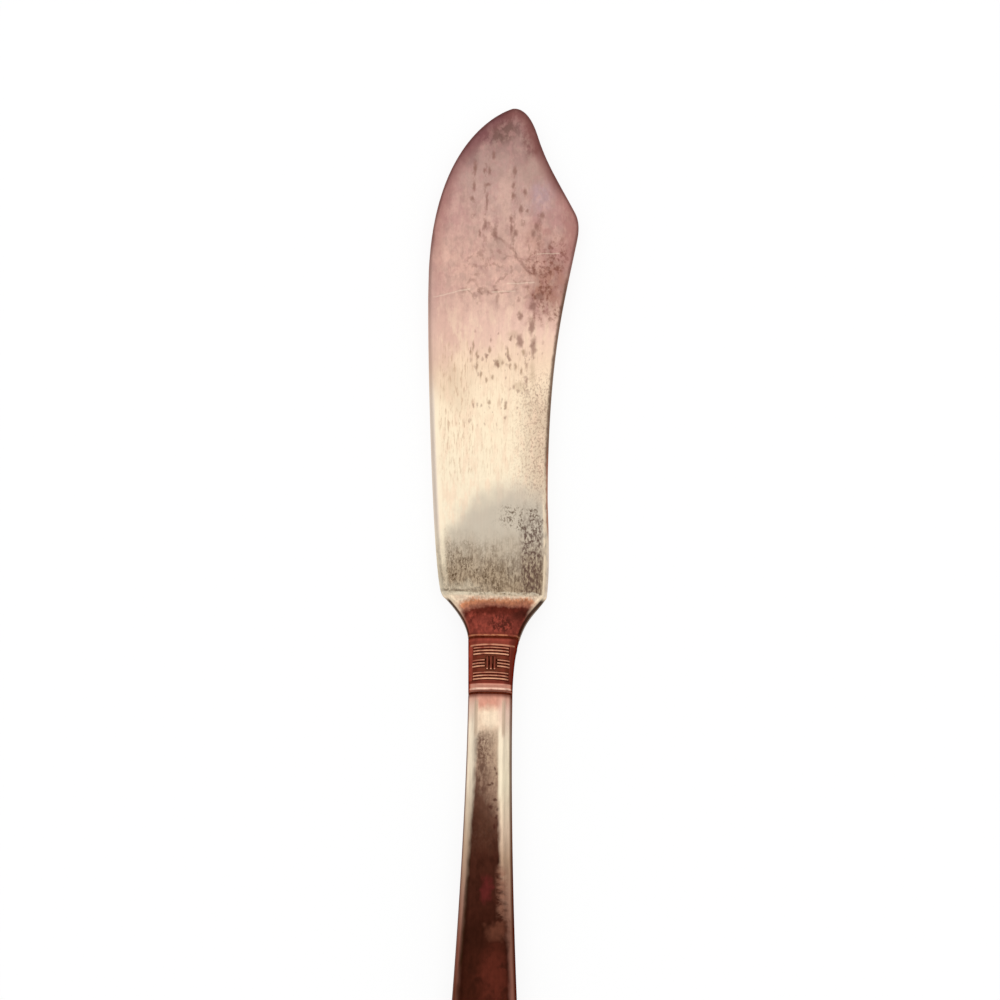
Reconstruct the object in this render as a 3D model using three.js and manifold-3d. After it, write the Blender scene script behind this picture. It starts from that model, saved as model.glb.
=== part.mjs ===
// A butter knife: a flat flared blade, a reeded collar and a hollow handle soldered from two half shells.
// Millimetres, +Z up. The knife lies face up along Y, with its tip towards +Y and its spine towards +X.
// The origin is on the flat of the handle's back, half way along the handle.
import * as THREE from "three";
import { mergeVertices } from "three/addons/utils/BufferGeometryUtils.js";
import Module from "manifold-3d";

const wasm = await Module();
wasm.setup();
const { lerp, smoothstep } = THREE.MathUtils;

// Blade outline, seen from the front
const BLADE_LENGTH = 77.2; // from the shoulder corners to the tip
const BASE_LEFT = 7.35; // reach of each shoulder corner from the centre line
const BASE_RIGHT = 8.03;
const LEFT_SWELL = 1.38; // how far each edge bows out above its corner
const LEFT_PULL = 0.52;
const RIGHT_SWELL = 0.57;
const RIGHT_PULL = 5.1;
const BELLY_REACH = 10.64; // the spreading edge at its fullest
const BELLY_FROM_TIP = 28.1;
const BELLY_PULL_UP = 24.2;
const BELLY_PULL_DOWN = 10.9;
const WAIST_REACH = 7.93; // the spine at its narrowest
const WAIST_FROM_BASE = 16.85;
const WAIST_PULL_UP = 21.3;
const WAIST_PULL_DOWN = 4.27;
const HUMP_REACH = 12.37; // the corner of the spine, before it is rounded off
const HUMP_FROM_TIP = 18.64;
const HUMP_RISE = 1.7; // the rounding above and below that corner
const HUMP_RISE_IN = 0.885;
const HUMP_FALL = 2.4;
const HUMP_FALL_IN = 0.435;
const TIP_OFFSET = 1.9; // the tip's apex, right of the centre line
const TIP_PULL = 0.4;
const TIP_SIDE_REACH = 5.59;
const TIP_SIDE_DROP = 4.42;
const TIP_CORNER_REACH = 4.2;
const CLIP_PULL_UP = 1.065; // the hollow sweep from hump to tip keeps the directions of both ends
const CLIP_PULL_DOWN = 3.08;
const SPINE_PULL = 4.4;

// Blade thickness
const BLADE_BASE_THICK = 1.7;
const BLADE_TIP_THICK = 1.1;
const BLADE_EDGE_THICK = 0.7;
const BLADE_BEVEL = 0.9;

// Shoulder and tang, forged with the blade
const SHOULDER_LENGTH = 6.5;
const NECK_LEFT = 3.4;
const NECK_LEFT_FROM_BASE = 7;
const NECK_LEFT_BEND = 3.8;
const NECK_RIGHT_BEND = 3.2;
const NECK_RIGHT_IN = 1.7;
const TANG_WIDTH = 2.4;
const TANG_THICK = 1.4;
const TANG_TIP_WIDTH = 1.6;
const TANG_STOP_FROM_BUTT = 37.8;

// Collar
const COLLAR_LENGTH = 8;
const SPIGOT_LENGTH = 3;
const PANEL_HALF = 2.75; // half-width of the sunk reeded panel
const PANEL_FROM_TOP = 1.3;
const PANEL_LENGTH = 5.15;
const PANEL_DEPTH = 0.15;
const REED_PITCH = 0.45;
const REED_WIDTH = 0.34;
const REED_CROWN = 0.16; // width of a reed's flat top
const REED_PROUD = 0.06; // height above the collar's face
const REED_GROUP = 3; // reeds in a group
const REED_END_GAP = 0.1; // from a long reed's end to the panel's side
const REED_CENTRE_GAP = 0.85; // from the centre line to a short reed
const UPRIGHT_PITCH = 0.54;
const UPRIGHT_RADIUS = 0.2;
const UPRIGHT_LENGTH = 2.05;
const FRAME_REED_FROM_TOP = 1.1;
const BEAD_WIDTH = 1.2;
const BEAD_CROWN = 0.4;
const BEAD_PROUD = 0.25;

// Handle
const HANDLE_LENGTH = 85.6;
const MOUTH_WIDTH = 6.45;
const HANDLE_WIDTH = 13.6; // at its widest, where the rounded end begins
const END_LENGTH = 10;
const END_SOFTNESS = 0.35; // power by which the end thins as it narrows
const FLARE_STRAIGHT = 31; // from the mouth to the bend of the flare
const BACK_DEPTH = 2.4; // from the seam to the flat back
const FRONT_DEPTH_MOUTH = 2.4; // from the seam to the face
const FRONT_DEPTH_END = 3.3;
const SIDE_LAND = 1.6; // upright stretch of each side, about the seam
const ROLL_WIDTH = 1.6; // width of the rolled-over edges beside the flat
const WALL = 0.6;

// Joints
const SOLDER_THICK = 0.3;
const SEAM_THICK = 0.2;
const SOLDER_RECESS = 0.12; // how far a joint lies below the surface
const FIT_GAP = 0.3;

// Fineness of the curves
const EDGE_DIVISIONS = 40;
const CORNER_STEPS = 4;
const SHOULDER_STEPS = 9;
const BASE_ZONE = 5; // finer steps just above the shoulder corners
const BASE_STEPS = 6;
const SPINE_STEPS = 14;
const HUMP_STEPS = 16;
const CLIP_STEPS = 9;
const TIP_STEPS = 9;
const COLLAR_STEPS = 8;
const HANDLE_STEPS = 14;
const END_STEPS = 8;
const UPRIGHT_STEPS = 3;
const UPRIGHT_SIDES = 8;
const END_LAST_ANGLE = THREE.MathUtils.degToRad(87);
const TIP_TRIM = 0.02; // the apex ends in a narrow land
const CUT_OVERRUN = 1; // a cutter reaches this far past what it cuts
const MOST_ROLL = 0.48; // most of a section's width that one corner may take
const MOST_EDGE = 0.8; // most of the blade's thickness that its edge land may take

// Stations along the knife
const mouthY = HANDLE_LENGTH / 2;
const buttY = -HANDLE_LENGTH / 2;
const endY = buttY + END_LENGTH;
const collarBottomY = mouthY + SOLDER_THICK;
const collarTopY = collarBottomY + COLLAR_LENGTH;
const shoulderY = collarTopY + SOLDER_THICK;
const baseY = shoulderY + SHOULDER_LENGTH;
const tipY = baseY + BLADE_LENGTH;
const tangEndY = buttY + TANG_STOP_FROM_BUTT;
const seamZ = BACK_DEPTH;

// Evenly spaced values from one end to the other, both included.
function span(from, to, steps) {
  return Array.from({ length: steps + 1 }, (_, i) => lerp(from, to, i / steps));
}

// Reads a rising edge's x at any y.
function edgeReader(path) {
  const points = path.getPoints(EDGE_DIVISIONS);
  return (y) => {
    const after = points.findIndex((p) => p.y >= y);
    if (after < 0) return points.at(-1).x;
    if (after === 0) return points[0].x;
    const [a, b] = [points[after - 1], points[after]];
    return lerp(a.x, b.x, (y - a.y) / (b.y - a.y));
  };
}

// The left silhouette, from the handle's widest point to the tip: the spreading edge.
function leftEdge() {
  const bellyY = tipY - BELLY_FROM_TIP;
  const bellyFootY = bellyY - BELLY_PULL_DOWN;
  const neckY = baseY - NECK_LEFT_FROM_BASE;
  return new THREE.Path()
    .moveTo(-HANDLE_WIDTH / 2, endY)
    .quadraticCurveTo(-MOUTH_WIDTH / 2, mouthY - FLARE_STRAIGHT, -MOUTH_WIDTH / 2, mouthY)
    .lineTo(-NECK_LEFT, neckY)
    .quadraticCurveTo(-NECK_LEFT, baseY - NECK_LEFT_BEND, -BASE_LEFT, baseY)
    .bezierCurveTo(-BASE_LEFT - LEFT_SWELL, baseY + LEFT_PULL, -BELLY_REACH, bellyFootY, -BELLY_REACH, bellyY)
    .bezierCurveTo(-BELLY_REACH, bellyY + BELLY_PULL_UP, TIP_OFFSET - TIP_PULL, tipY, TIP_OFFSET, tipY);
}

// The right silhouette, from the handle's widest point to the tip: the spine, its hump and the clip.
function rightEdge() {
  const waistY = baseY + WAIST_FROM_BASE;
  const waistFootY = waistY - WAIST_PULL_DOWN;
  const bendY = baseY - NECK_RIGHT_BEND;
  const hump = new THREE.Vector2(HUMP_REACH, tipY - HUMP_FROM_TIP);
  const humpFoot = new THREE.Vector2(HUMP_REACH - HUMP_FALL_IN, hump.y - HUMP_FALL);
  const clipFoot = new THREE.Vector2(HUMP_REACH - HUMP_RISE_IN, hump.y + HUMP_RISE);
  const tipCorner = new THREE.Vector2(TIP_CORNER_REACH, tipY);
  const tipSide = new THREE.Vector2(TIP_SIDE_REACH, tipY - TIP_SIDE_DROP);
  const pastFoot = humpFoot.clone().sub(hump).multiplyScalar(SPINE_PULL).add(humpFoot);
  const pastClip = clipFoot.clone().sub(hump).multiplyScalar(CLIP_PULL_DOWN).add(clipFoot);
  const beforeTip = tipSide.clone().sub(tipCorner).multiplyScalar(CLIP_PULL_UP).add(tipSide);
  return new THREE.Path()
    .moveTo(HANDLE_WIDTH / 2, endY)
    .quadraticCurveTo(MOUTH_WIDTH / 2, mouthY - FLARE_STRAIGHT, MOUTH_WIDTH / 2, mouthY)
    .bezierCurveTo(MOUTH_WIDTH / 2, bendY, BASE_RIGHT - NECK_RIGHT_IN, bendY, BASE_RIGHT, baseY)
    .bezierCurveTo(BASE_RIGHT + RIGHT_SWELL, baseY + RIGHT_PULL, WAIST_REACH, waistFootY, WAIST_REACH, waistY)
    .bezierCurveTo(WAIST_REACH, waistY + WAIST_PULL_UP, pastFoot.x, pastFoot.y, humpFoot.x, humpFoot.y)
    .quadraticCurveTo(hump.x, hump.y, clipFoot.x, clipFoot.y)
    .bezierCurveTo(pastClip.x, pastClip.y, beforeTip.x, beforeTip.y, tipSide.x, tipSide.y)
    .quadraticCurveTo(tipCorner.x, tipCorner.y, TIP_OFFSET, tipY);
}

const leftAt = edgeReader(leftEdge());
const rightAt = edgeReader(rightEdge());

// One section at y: a rectangle with elliptical corners.
// The ring starts on the left and runs over the face, down the right side and back under.
function ring(y, { left, right, bottom, top }, face, back) {
  const limit = MOST_ROLL * (right - left);
  const corner = (x, z, size, sideX, sideZ, fromAngle) => {
    const width = Math.min(size.width, limit);
    return span(fromAngle, fromAngle - Math.PI / 2, CORNER_STEPS).map(
      (angle) =>
        new THREE.Vector3(
          x - sideX * width + width * Math.cos(angle),
          y,
          z - sideZ * size.height + size.height * Math.sin(angle),
        ),
    );
  };
  return [
    ...corner(left, top, face, -1, 1, Math.PI),
    ...corner(right, top, face, 1, 1, Math.PI / 2),
    ...corner(right, bottom, back, 1, -1, 0),
    ...corner(left, bottom, back, -1, -1, -Math.PI / 2),
  ];
}

// A closed skin over a row of rings that run towards +Y.
function loft(rings) {
  const count = rings[0].length;
  const last = (rings.length - 1) * count;
  const index = [];
  for (let from = 0; from < last; from += count) {
    for (let j = 0; j < count; j++) {
      const k = (j + 1) % count;
      index.push(from + j, from + k, from + count + k);
      index.push(from + j, from + count + k, from + count + j);
    }
  }
  for (let j = 1; j + 1 < count; j++) {
    index.push(0, j + 1, j);
    index.push(last, last + j, last + j + 1);
  }
  return new THREE.BufferGeometry().setFromPoints(rings.flat()).setIndex(index);
}

// A closed geometry as a solid that can be joined and cut.
function solid(geometry) {
  const bare = geometry.clone();
  bare.deleteAttribute("normal");
  bare.deleteAttribute("uv");
  const merged = mergeVertices(bare);
  return new wasm.Manifold(
    new wasm.Mesh({
      numProp: 3,
      vertProperties: new Float32Array(merged.attributes.position.array),
      triVerts: new Uint32Array(merged.index.array),
    }),
  );
}

// A box between two corners, as a solid.
function block(low, high) {
  const size = high.map((value, axis) => value - low[axis]);
  const middle = high.map((value, axis) => (value + low[axis]) / 2);
  return solid(new THREE.BoxGeometry(...size).translate(...middle));
}

// How deep the face lies above the seam, from the collar to the butt.
function frontDepth(y) {
  const along = THREE.MathUtils.clamp((mouthY - y) / (mouthY - endY), 0, 1);
  return lerp(FRONT_DEPTH_MOUTH, FRONT_DEPTH_END, along);
}

// A section of the collar or the handle, drawn in all round by inset.
// Towards the butt the section at the widest point is narrowed and thinned.
function bodyRing(y, inset, { at = y, narrow = 1, thin = 1 } = {}) {
  const frontHalf = (frontDepth(at) - inset) * thin;
  const backHalf = (BACK_DEPTH - inset) * thin;
  const land = (SIDE_LAND / 2) * thin;
  const roll = ROLL_WIDTH - inset;
  return ring(
    y,
    {
      left: (leftAt(at) + inset) * narrow,
      right: (rightAt(at) - inset) * narrow,
      bottom: seamZ - backHalf,
      top: seamZ + frontHalf,
    },
    { width: roll, height: frontHalf - land },
    { width: roll, height: backHalf - land },
  );
}

// The handle's solid from startY to its rounded butt, drawn in all round by inset.
function handleSolid(inset, startY) {
  const straight = span(startY, endY, HANDLE_STEPS).map((y) => bodyRing(y, inset));
  const rounded = span(0, END_LAST_ANGLE, END_STEPS)
    .slice(1)
    .map((angle) => {
      const narrow = Math.cos(angle);
      const y = endY - (END_LENGTH - inset) * Math.sin(angle);
      return bodyRing(y, inset, { at: endY, narrow, thin: narrow ** END_SOFTNESS });
    });
  return solid(loft([...straight, ...rounded].reverse()));
}

// The mouth's section, drawn in by inset and carried straight along the knife.
function mouthSolid(inset, fromY, toY) {
  return solid(loft([fromY, toY].map((y) => bodyRing(y, inset, { at: mouthY }))));
}

// The collar's section between two stations, drawn in by inset.
function collarSolid(inset, fromY, toY, steps) {
  return solid(loft(span(fromY, toY, steps).map((y) => bodyRing(y, inset))));
}

// A square-cornered passage for the tang, with room all round it.
function tangPassage(fromY, toY) {
  const halfWidth = TANG_WIDTH / 2 + FIT_GAP;
  const halfThick = TANG_THICK / 2 + FIT_GAP;
  return block([-halfWidth, fromY, seamZ - halfThick], [halfWidth, toY, seamZ + halfThick]);
}

// A section of the blade or of the shoulder that swells from it to the collar.
function bladeRing(y) {
  const alongShoulder = THREE.MathUtils.clamp((y - shoulderY) / SHOULDER_LENGTH, 0, 1);
  const alongBlade = THREE.MathUtils.clamp((y - baseY) / BLADE_LENGTH, 0, 1);
  const bladeHalf = lerp(BLADE_BASE_THICK, BLADE_TIP_THICK, alongBlade) / 2;
  const swell = Math.cos((alongShoulder * Math.PI) / 2);
  const faceHalf = lerp(bladeHalf, FRONT_DEPTH_MOUTH, swell);
  const backHalf = lerp(bladeHalf, BACK_DEPTH, swell);
  const land = Math.min(lerp(SIDE_LAND, BLADE_EDGE_THICK, alongShoulder) / 2, MOST_EDGE * bladeHalf);
  const width = lerp(ROLL_WIDTH, BLADE_BEVEL, smoothstep(alongShoulder, 0, 1));
  return ring(
    y,
    { left: leftAt(y), right: rightAt(y), bottom: seamZ - backHalf, top: seamZ + faceHalf },
    { width, height: faceHalf - land },
    { width, height: backHalf - land },
  );
}

// The blade, its shoulder and its tang: one forging.
function makeBlade() {
  const humpFootY = tipY - HUMP_FROM_TIP - 2 * HUMP_FALL;
  const humpTopY = tipY - HUMP_FROM_TIP + 2 * HUMP_RISE;
  const tipZoneY = tipY - TIP_SIDE_DROP;
  const stations = [
    ...span(shoulderY, baseY, SHOULDER_STEPS),
    ...span(baseY, baseY + BASE_ZONE, BASE_STEPS).slice(1),
    ...span(baseY + BASE_ZONE, humpFootY, SPINE_STEPS).slice(1),
    ...span(humpFootY, humpTopY, HUMP_STEPS).slice(1),
    ...span(humpTopY, tipZoneY, CLIP_STEPS).slice(1),
    ...span(1, 0, TIP_STEPS)
      .slice(1)
      .map((u) => lerp(tipY - TIP_TRIM, tipZoneY, u * u)),
  ];
  const halfThick = TANG_THICK / 2;
  const tangRing = (y, width) => {
    const sides = { left: -width / 2, right: width / 2, bottom: seamZ - halfThick, top: seamZ + halfThick };
    const softened = { width: halfThick / 2, height: halfThick / 2 };
    return ring(y, sides, softened, softened);
  };
  const tang = solid(
    loft([
      tangRing(tangEndY, TANG_TIP_WIDTH),
      tangRing(mouthY - SPIGOT_LENGTH, TANG_WIDTH),
      tangRing(shoulderY + CUT_OVERRUN, TANG_WIDTH),
    ]),
  );
  return solid(loft(stations.map(bladeRing))).add(tang);
}

// A rounded rib that follows the collar's face from one side to the other.
function rib(y, width, crown, proud) {
  const sunk = -PANEL_DEPTH - proud;
  const profile = [
    [-width / 2, sunk],
    [-crown / 2, proud],
    [crown / 2, proud],
    [width / 2, sunk],
  ];
  return solid(loft(profile.map(([offset, height]) => bodyRing(y + offset, -height, { at: y }))));
}

// The part of a rib between two distances from the centre line, on the face only.
function faceRib(y, fromX, toX, width, crown, proud) {
  const low = [fromX, y - width, seamZ + SIDE_LAND / 2];
  const high = [toX, y + width, seamZ + FRONT_DEPTH_MOUTH + CUT_OVERRUN];
  return rib(y, width, crown, proud).intersect(block(low, high));
}

// The reeds of the collar's panel: a group across its top, a group across its foot, and between them
// short reeds on both sides of three uprights.
function makeReeds() {
  const panelTopY = collarTopY - PANEL_FROM_TOP;
  const groupLength = REED_GROUP * REED_PITCH;
  const middleY = panelTopY - PANEL_LENGTH / 2;
  const longHalf = PANEL_HALF - REED_END_GAP;
  const reed = (y, fromX, toX) => faceRib(y, fromX, toX, REED_WIDTH, REED_CROWN, REED_PROUD);
  const reeds = [reed(collarTopY - FRAME_REED_FROM_TOP, -NECK_LEFT, MOUTH_WIDTH / 2)];
  for (let i = 0; i < REED_GROUP; i++) {
    const step = (i + 0.5) * REED_PITCH;
    const shortY = middleY + groupLength / 2 - step;
    reeds.push(reed(panelTopY - step, -longHalf, longHalf));
    reeds.push(reed(panelTopY - PANEL_LENGTH + step, -longHalf, longHalf));
    reeds.push(reed(shortY, -PANEL_HALF, -REED_CENTRE_GAP));
    reeds.push(reed(shortY, REED_CENTRE_GAP, PANEL_HALF));
    const straight = UPRIGHT_LENGTH - 2 * UPRIGHT_RADIUS;
    const upright = new THREE.CapsuleGeometry(UPRIGHT_RADIUS, straight, UPRIGHT_STEPS, UPRIGHT_SIDES);
    const x = (i - (REED_GROUP - 1) / 2) * UPRIGHT_PITCH;
    const z = seamZ + FRONT_DEPTH_MOUTH + REED_PROUD - UPRIGHT_RADIUS;
    reeds.push(solid(upright.translate(x, middleY, z)));
  }
  return reeds;
}

// The collar: a sleeve over the tang, with a sunk reeded panel and a bead.
// Its spigot plugs the handle's mouth.
function makeCollar() {
  const panelTopY = collarTopY - PANEL_FROM_TOP;
  const body = collarSolid(0, collarBottomY, collarTopY, COLLAR_STEPS);
  const spigot = mouthSolid(WALL + FIT_GAP, mouthY - SPIGOT_LENGTH, collarBottomY + CUT_OVERRUN);
  const panel = block(
    [-PANEL_HALF, panelTopY - PANEL_LENGTH, seamZ + SIDE_LAND / 2],
    [PANEL_HALF, panelTopY, seamZ + FRONT_DEPTH_MOUTH + CUT_OVERRUN],
  );
  const ground = collarSolid(PANEL_DEPTH, collarBottomY, collarTopY, COLLAR_STEPS);
  const beadY = collarBottomY + BEAD_WIDTH / 2;
  const bead = faceRib(beadY, -MOUTH_WIDTH / 2, MOUTH_WIDTH / 2, BEAD_WIDTH, BEAD_CROWN, BEAD_PROUD);
  return makeReeds()
    .concat(spigot, bead)
    .reduce((whole, piece) => whole.add(piece), body.subtract(panel.subtract(ground)))
    .subtract(tangPassage(mouthY - SPIGOT_LENGTH - CUT_OVERRUN, collarTopY + CUT_OVERRUN));
}

// The hollow handle, split at its seam into two half shells and the solder between them.
function makeHandle() {
  const reach = HANDLE_WIDTH + HANDLE_LENGTH;
  const cavity = handleSolid(WALL, mouthY + CUT_OVERRUN);
  const hollow = handleSolid(0, mouthY).subtract(cavity);
  const recessed = handleSolid(SOLDER_RECESS, mouthY).subtract(cavity);
  const slab = (lowZ, highZ) => block([-reach, -reach, lowZ], [reach, reach, highZ]);
  const [seamLow, seamHigh] = [seamZ - SEAM_THICK / 2, seamZ + SEAM_THICK / 2];
  return {
    front: hollow.intersect(slab(seamHigh, reach)),
    back: hollow.intersect(slab(-reach, seamLow)),
    seam: recessed.intersect(slab(seamLow, seamHigh)),
  };
}

// The cement that holds the tang in the hollow handle.
function makeFiller() {
  const topY = mouthY - SPIGOT_LENGTH - FIT_GAP;
  const pocket = tangPassage(tangEndY - FIT_GAP, topY + CUT_OVERRUN);
  return handleSolid(WALL + FIT_GAP, topY).subtract(pocket);
}

// The solder between the shoulder and the collar.
function makeShoulderSolder() {
  const washer = collarSolid(SOLDER_RECESS, collarTopY, shoulderY, 1);
  return washer.subtract(tangPassage(collarTopY - CUT_OVERRUN, shoulderY + CUT_OVERRUN));
}

// The solder between the collar and the handle's mouth, round the spigot.
function makeMouthSolder() {
  const washer = mouthSolid(SOLDER_RECESS, mouthY, collarBottomY);
  return washer.subtract(mouthSolid(WALL, mouthY - CUT_OVERRUN, collarBottomY + CUT_OVERRUN));
}

// Finishes
const wornPlate = new THREE.MeshStandardMaterial({ color: 0xd9bfae, roughness: 0.32, metalness: 1 });
const copperedPlate = new THREE.MeshStandardMaterial({ color: 0xa5604f, roughness: 0.35, metalness: 1 });
const tarnishedPlate = new THREE.MeshStandardMaterial({ color: 0x8d6a5a, roughness: 0.35, metalness: 1 });
const darkSolder = new THREE.MeshStandardMaterial({ color: 0x4a2c24, roughness: 0.6, metalness: 1 });
const cement = new THREE.MeshStandardMaterial({ color: 0xb9ab96, roughness: 0.9, metalness: 0 });

// A named mesh from a solid.
function piece(name, made, material) {
  const { numProp, vertProperties, triVerts } = made.getMesh();
  const geometry = new THREE.BufferGeometry()
    .setAttribute("position", new THREE.BufferAttribute(vertProperties, numProp))
    .setIndex(new THREE.BufferAttribute(triVerts, 1));
  geometry.computeVertexNormals();
  const mesh = new THREE.Mesh(geometry, material);
  mesh.name = name;
  return mesh;
}

const handle = makeHandle();
const butterKnife = new THREE.Group();
butterKnife.name = "butter_knife";
butterKnife.add(
  piece("blade", makeBlade(), wornPlate),
  piece("collar", makeCollar(), copperedPlate),
  piece("handle_front_shell", handle.front, tarnishedPlate),
  piece("handle_back_shell", handle.back, tarnishedPlate),
  piece("handle_filler", makeFiller(), cement),
  piece("shoulder_solder", makeShoulderSolder(), darkSolder),
  piece("mouth_solder", makeMouthSolder(), darkSolder),
  piece("seam_solder", handle.seam, darkSolder),
);

export default butterKnife;
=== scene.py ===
"""A butter knife in worn, tarnished silver plate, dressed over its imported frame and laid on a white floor.

Lengths are millimetres in the knife's frame until a mesh is made: +Y runs to the tip, +Z out of the face.
"""

import functools
import math
import operator

import bpy
import numpy as np
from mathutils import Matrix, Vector


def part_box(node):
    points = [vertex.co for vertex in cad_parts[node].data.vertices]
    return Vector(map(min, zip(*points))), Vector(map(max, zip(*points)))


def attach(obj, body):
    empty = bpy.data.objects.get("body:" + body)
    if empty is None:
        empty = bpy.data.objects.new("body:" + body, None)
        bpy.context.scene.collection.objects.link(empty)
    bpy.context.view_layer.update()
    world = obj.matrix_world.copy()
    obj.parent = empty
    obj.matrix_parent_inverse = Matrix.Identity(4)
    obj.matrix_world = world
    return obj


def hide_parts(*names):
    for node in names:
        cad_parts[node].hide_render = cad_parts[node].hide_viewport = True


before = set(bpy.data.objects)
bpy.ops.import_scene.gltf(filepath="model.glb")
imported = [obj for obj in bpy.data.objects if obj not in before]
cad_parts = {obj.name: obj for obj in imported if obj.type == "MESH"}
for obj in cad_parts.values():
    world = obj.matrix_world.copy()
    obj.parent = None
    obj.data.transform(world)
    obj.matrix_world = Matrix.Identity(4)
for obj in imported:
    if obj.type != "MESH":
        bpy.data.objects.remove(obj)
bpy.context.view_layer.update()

MM = 0.001  # metres in a millimetre
LEVEL = 0.005  # points this close along Y belong to one cross-section

# Camera
AIM_FROM_TIP = 62.5
AIM_X = 0.86
CAMERA_AZIMUTH = math.radians(1.05)
CAMERA_ELEVATION = math.radians(75)
CAMERA_DISTANCE = 420
CAMERA_LENS = 101.6
CAMERA_SENSOR = 36

# Floor and light, in metres and watts
FLOOR_SIZE = 8
FLOOR_GREY = 0.16
FLOOR_GLOW = 0.86
LAMP_SIZE = 1.4
LAMP_HEIGHT = 0.9
LAMP_AHEAD = 0.2
LAMP_POWER = 3.1
SKY = ((0, 1), (0.1, 0.86), (0.5, 0.76), (0.87, 0.6))  # brightness by the sine of the elevation

# Sections
SHOULDER_LENGTH = 6.5
HUMP_FROM_BASE = 58.6
BLADE_BEVEL = 0.85
BLADE_EDGE_THICK = 0.7
BEVEL_POWER = 1.5  # 1 is a straight chamfer, 2 is a round
MOST_LAND = 0.8  # most of the thickness that a side wall may take
SIDE_LAND = 1.6
ROLL_WIDTH = 1.6
ROLL_POWER = 2
TANG_HALF_WIDTH = 1.2
END_LENGTH = 10
END_TURN = math.radians(88.5)  # where the round end closes
CROWN = 0.45  # height that the collar's face loses from the middle to the sides
END_CROWN = 0.15
CROWN_FADE = 30  # length of handle over which its face flattens
END_ROLL_WIDTH = 2.6
WALL = 0.6
FIT_GAP = 0.3
LIP = 0.08  # rounding of the edges that meet at a soldered joint
JOINT_RECESS = 0.07
CREASE_SOFTNESS = 0.55  # half-length of the fillet between blade and shoulder

# Collar ornament, measured down from the collar's top
PANEL_HALF = 2.75
PANEL_TOP = 1.19
PANEL_LENGTH = 5.06
PANEL_DEPTH = 0.15
REED_PITCH = 0.45
REED_WIDTH = 0.4
REED_PROUD = 0.05
REED_GROUP = 3
LONG_REED_HALF = 2.62
SHORT_REED_START = 0.87
UPRIGHT_PITCH = 0.54
UPRIGHT_WIDTH = 0.42
UPRIGHT_HALF_LENGTH = 1
REED_BOW = 0.14  # how far the ends of a reed lie below its middle
UPRIGHT_SHINE = 0.52  # how bright the painted highlight on the uprights is beside the other reeds
UPRIGHT_FOOT = (0.6, 0.9)  # shares of an upright's half-length between which its foot's painted highlight comes up
FIRST_SHINE = 0.84  # how bright the painted highlight on the highest reed of a group is beside its lowest
FRAME_REED_AT = 1
# The frame reed's painted highlight, beside the other reeds
FRAME_SHINE = 0.33
BEAD_START = 6.85
BEAD_CREST = 7.6
BEAD_PROUD = 0.22
RIB_FULLNESS = 0.7
SOFT_EDGE = 0.06
RELIEF_EDGE = (0, 0.6)  # distances from the outline over which the ornament rises
SHINE_EDGE = (0.1, 0.5)  # and over which its painted highlight comes up

# Fineness of the meshes
BLADE_COLUMNS = 96
HANDLE_COLUMNS = 72
COLLAR_COLUMNS = 132
BACK_COLUMNS = 60
WALL_STEPS = 3
LIP_STEPS = 6
END_STEPS = 44
TIP_ZONE = 4
TIP_STEPS = 40
HUMP_ZONE = 6
CREASE_BELOW = 1
CREASE_ABOVE = 1.5
SHOULDER_STEP = 0.16
CREASE_STEP = 0.08
HUMP_STEP = 0.2
UPPER_STEP = 0.4
LONG_STEP = 0.5
COLLAR_STEP = 0.03
SOFTEN_SAMPLES = 41
SHARP_ANGLE = math.radians(35)


def node_points(name):
    """A CAD node's vertices, in millimetres."""
    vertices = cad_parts[name].data.vertices
    flat = np.empty(3 * len(vertices))
    vertices.foreach_get("co", flat)
    return flat.reshape(-1, 3) / MM


def corners(node):
    """A CAD node's lowest and highest corner, in millimetres."""
    return [np.array(corner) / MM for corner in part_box(node)]


def smooth_reader(at, values):
    """A smooth curve through the given values that never swings past them."""
    step = np.diff(at)
    slope = np.diff(values) / step
    before, after = slope[:-1], slope[1:]
    steady = before * after > 0
    heavy = 2 * step[1:] + step[:-1]
    light = step[1:] + 2 * step[:-1]
    mean = (heavy + light) / (heavy / np.where(steady, before, 1) + light / np.where(steady, after, 1))
    tangent = np.zeros_like(values)
    tangent[[0, -1]] = slope[[0, -1]]
    tangent[1:-1] = np.where(steady, mean, 0)

    def read(y):
        i = np.clip(np.searchsorted(at, y) - 1, 0, len(step) - 1)
        t = np.clip((y - at[i]) / step[i], 0, 1)
        hold = (1 + 2 * t) * (1 - t) ** 2 * values[i] + t**2 * (3 - 2 * t) * values[i + 1]
        lean = t * (1 - t) ** 2 * tangent[i] - t**2 * (1 - t) * tangent[i + 1]
        return hold + step[i] * lean

    return read


def silhouette(points, lowest=np.inf):
    """Readers of a node's left, right, low and high reach by y, from its sections that dip below lowest."""
    levels = np.unique(np.round(points[:, 1], 3))
    sections = [points[np.abs(points[:, 1] - level) < LEVEL / 2] for level in levels]
    full = [i for i, section in enumerate(sections) if section[:, 2].min() < lowest]
    lows = np.array([sections[i].min(0) for i in full])
    highs = np.array([sections[i].max(0) for i in full])
    reaches = (lows[:, 0], highs[:, 0], lows[:, 2], highs[:, 2])
    return [smooth_reader(levels[full], reach) for reach in reaches]


def outline_distance(lines, x, y):
    """Distance in plan from each point to the nearest of an outline's lines of points."""
    where = np.stack([x.ravel(), y.ravel()], 1)
    nearest = np.full(len(where), np.inf)
    for line in lines:
        for start, run in zip(line[:-1], np.diff(line, axis=0)):
            t = np.clip((where - start) @ run / (run @ run), 0, 1)
            gap = where - start - t[:, None] * run
            nearest = np.minimum(nearest, np.hypot(gap[:, 0], gap[:, 1]))
    return nearest.reshape(x.shape)


def ease(value, start, end):
    """0 before start, 1 after end, smooth between; end may lie below start."""
    t = np.clip((value - start) / (end - start), 0, 1)
    return t * t * (3 - 2 * t)


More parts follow.
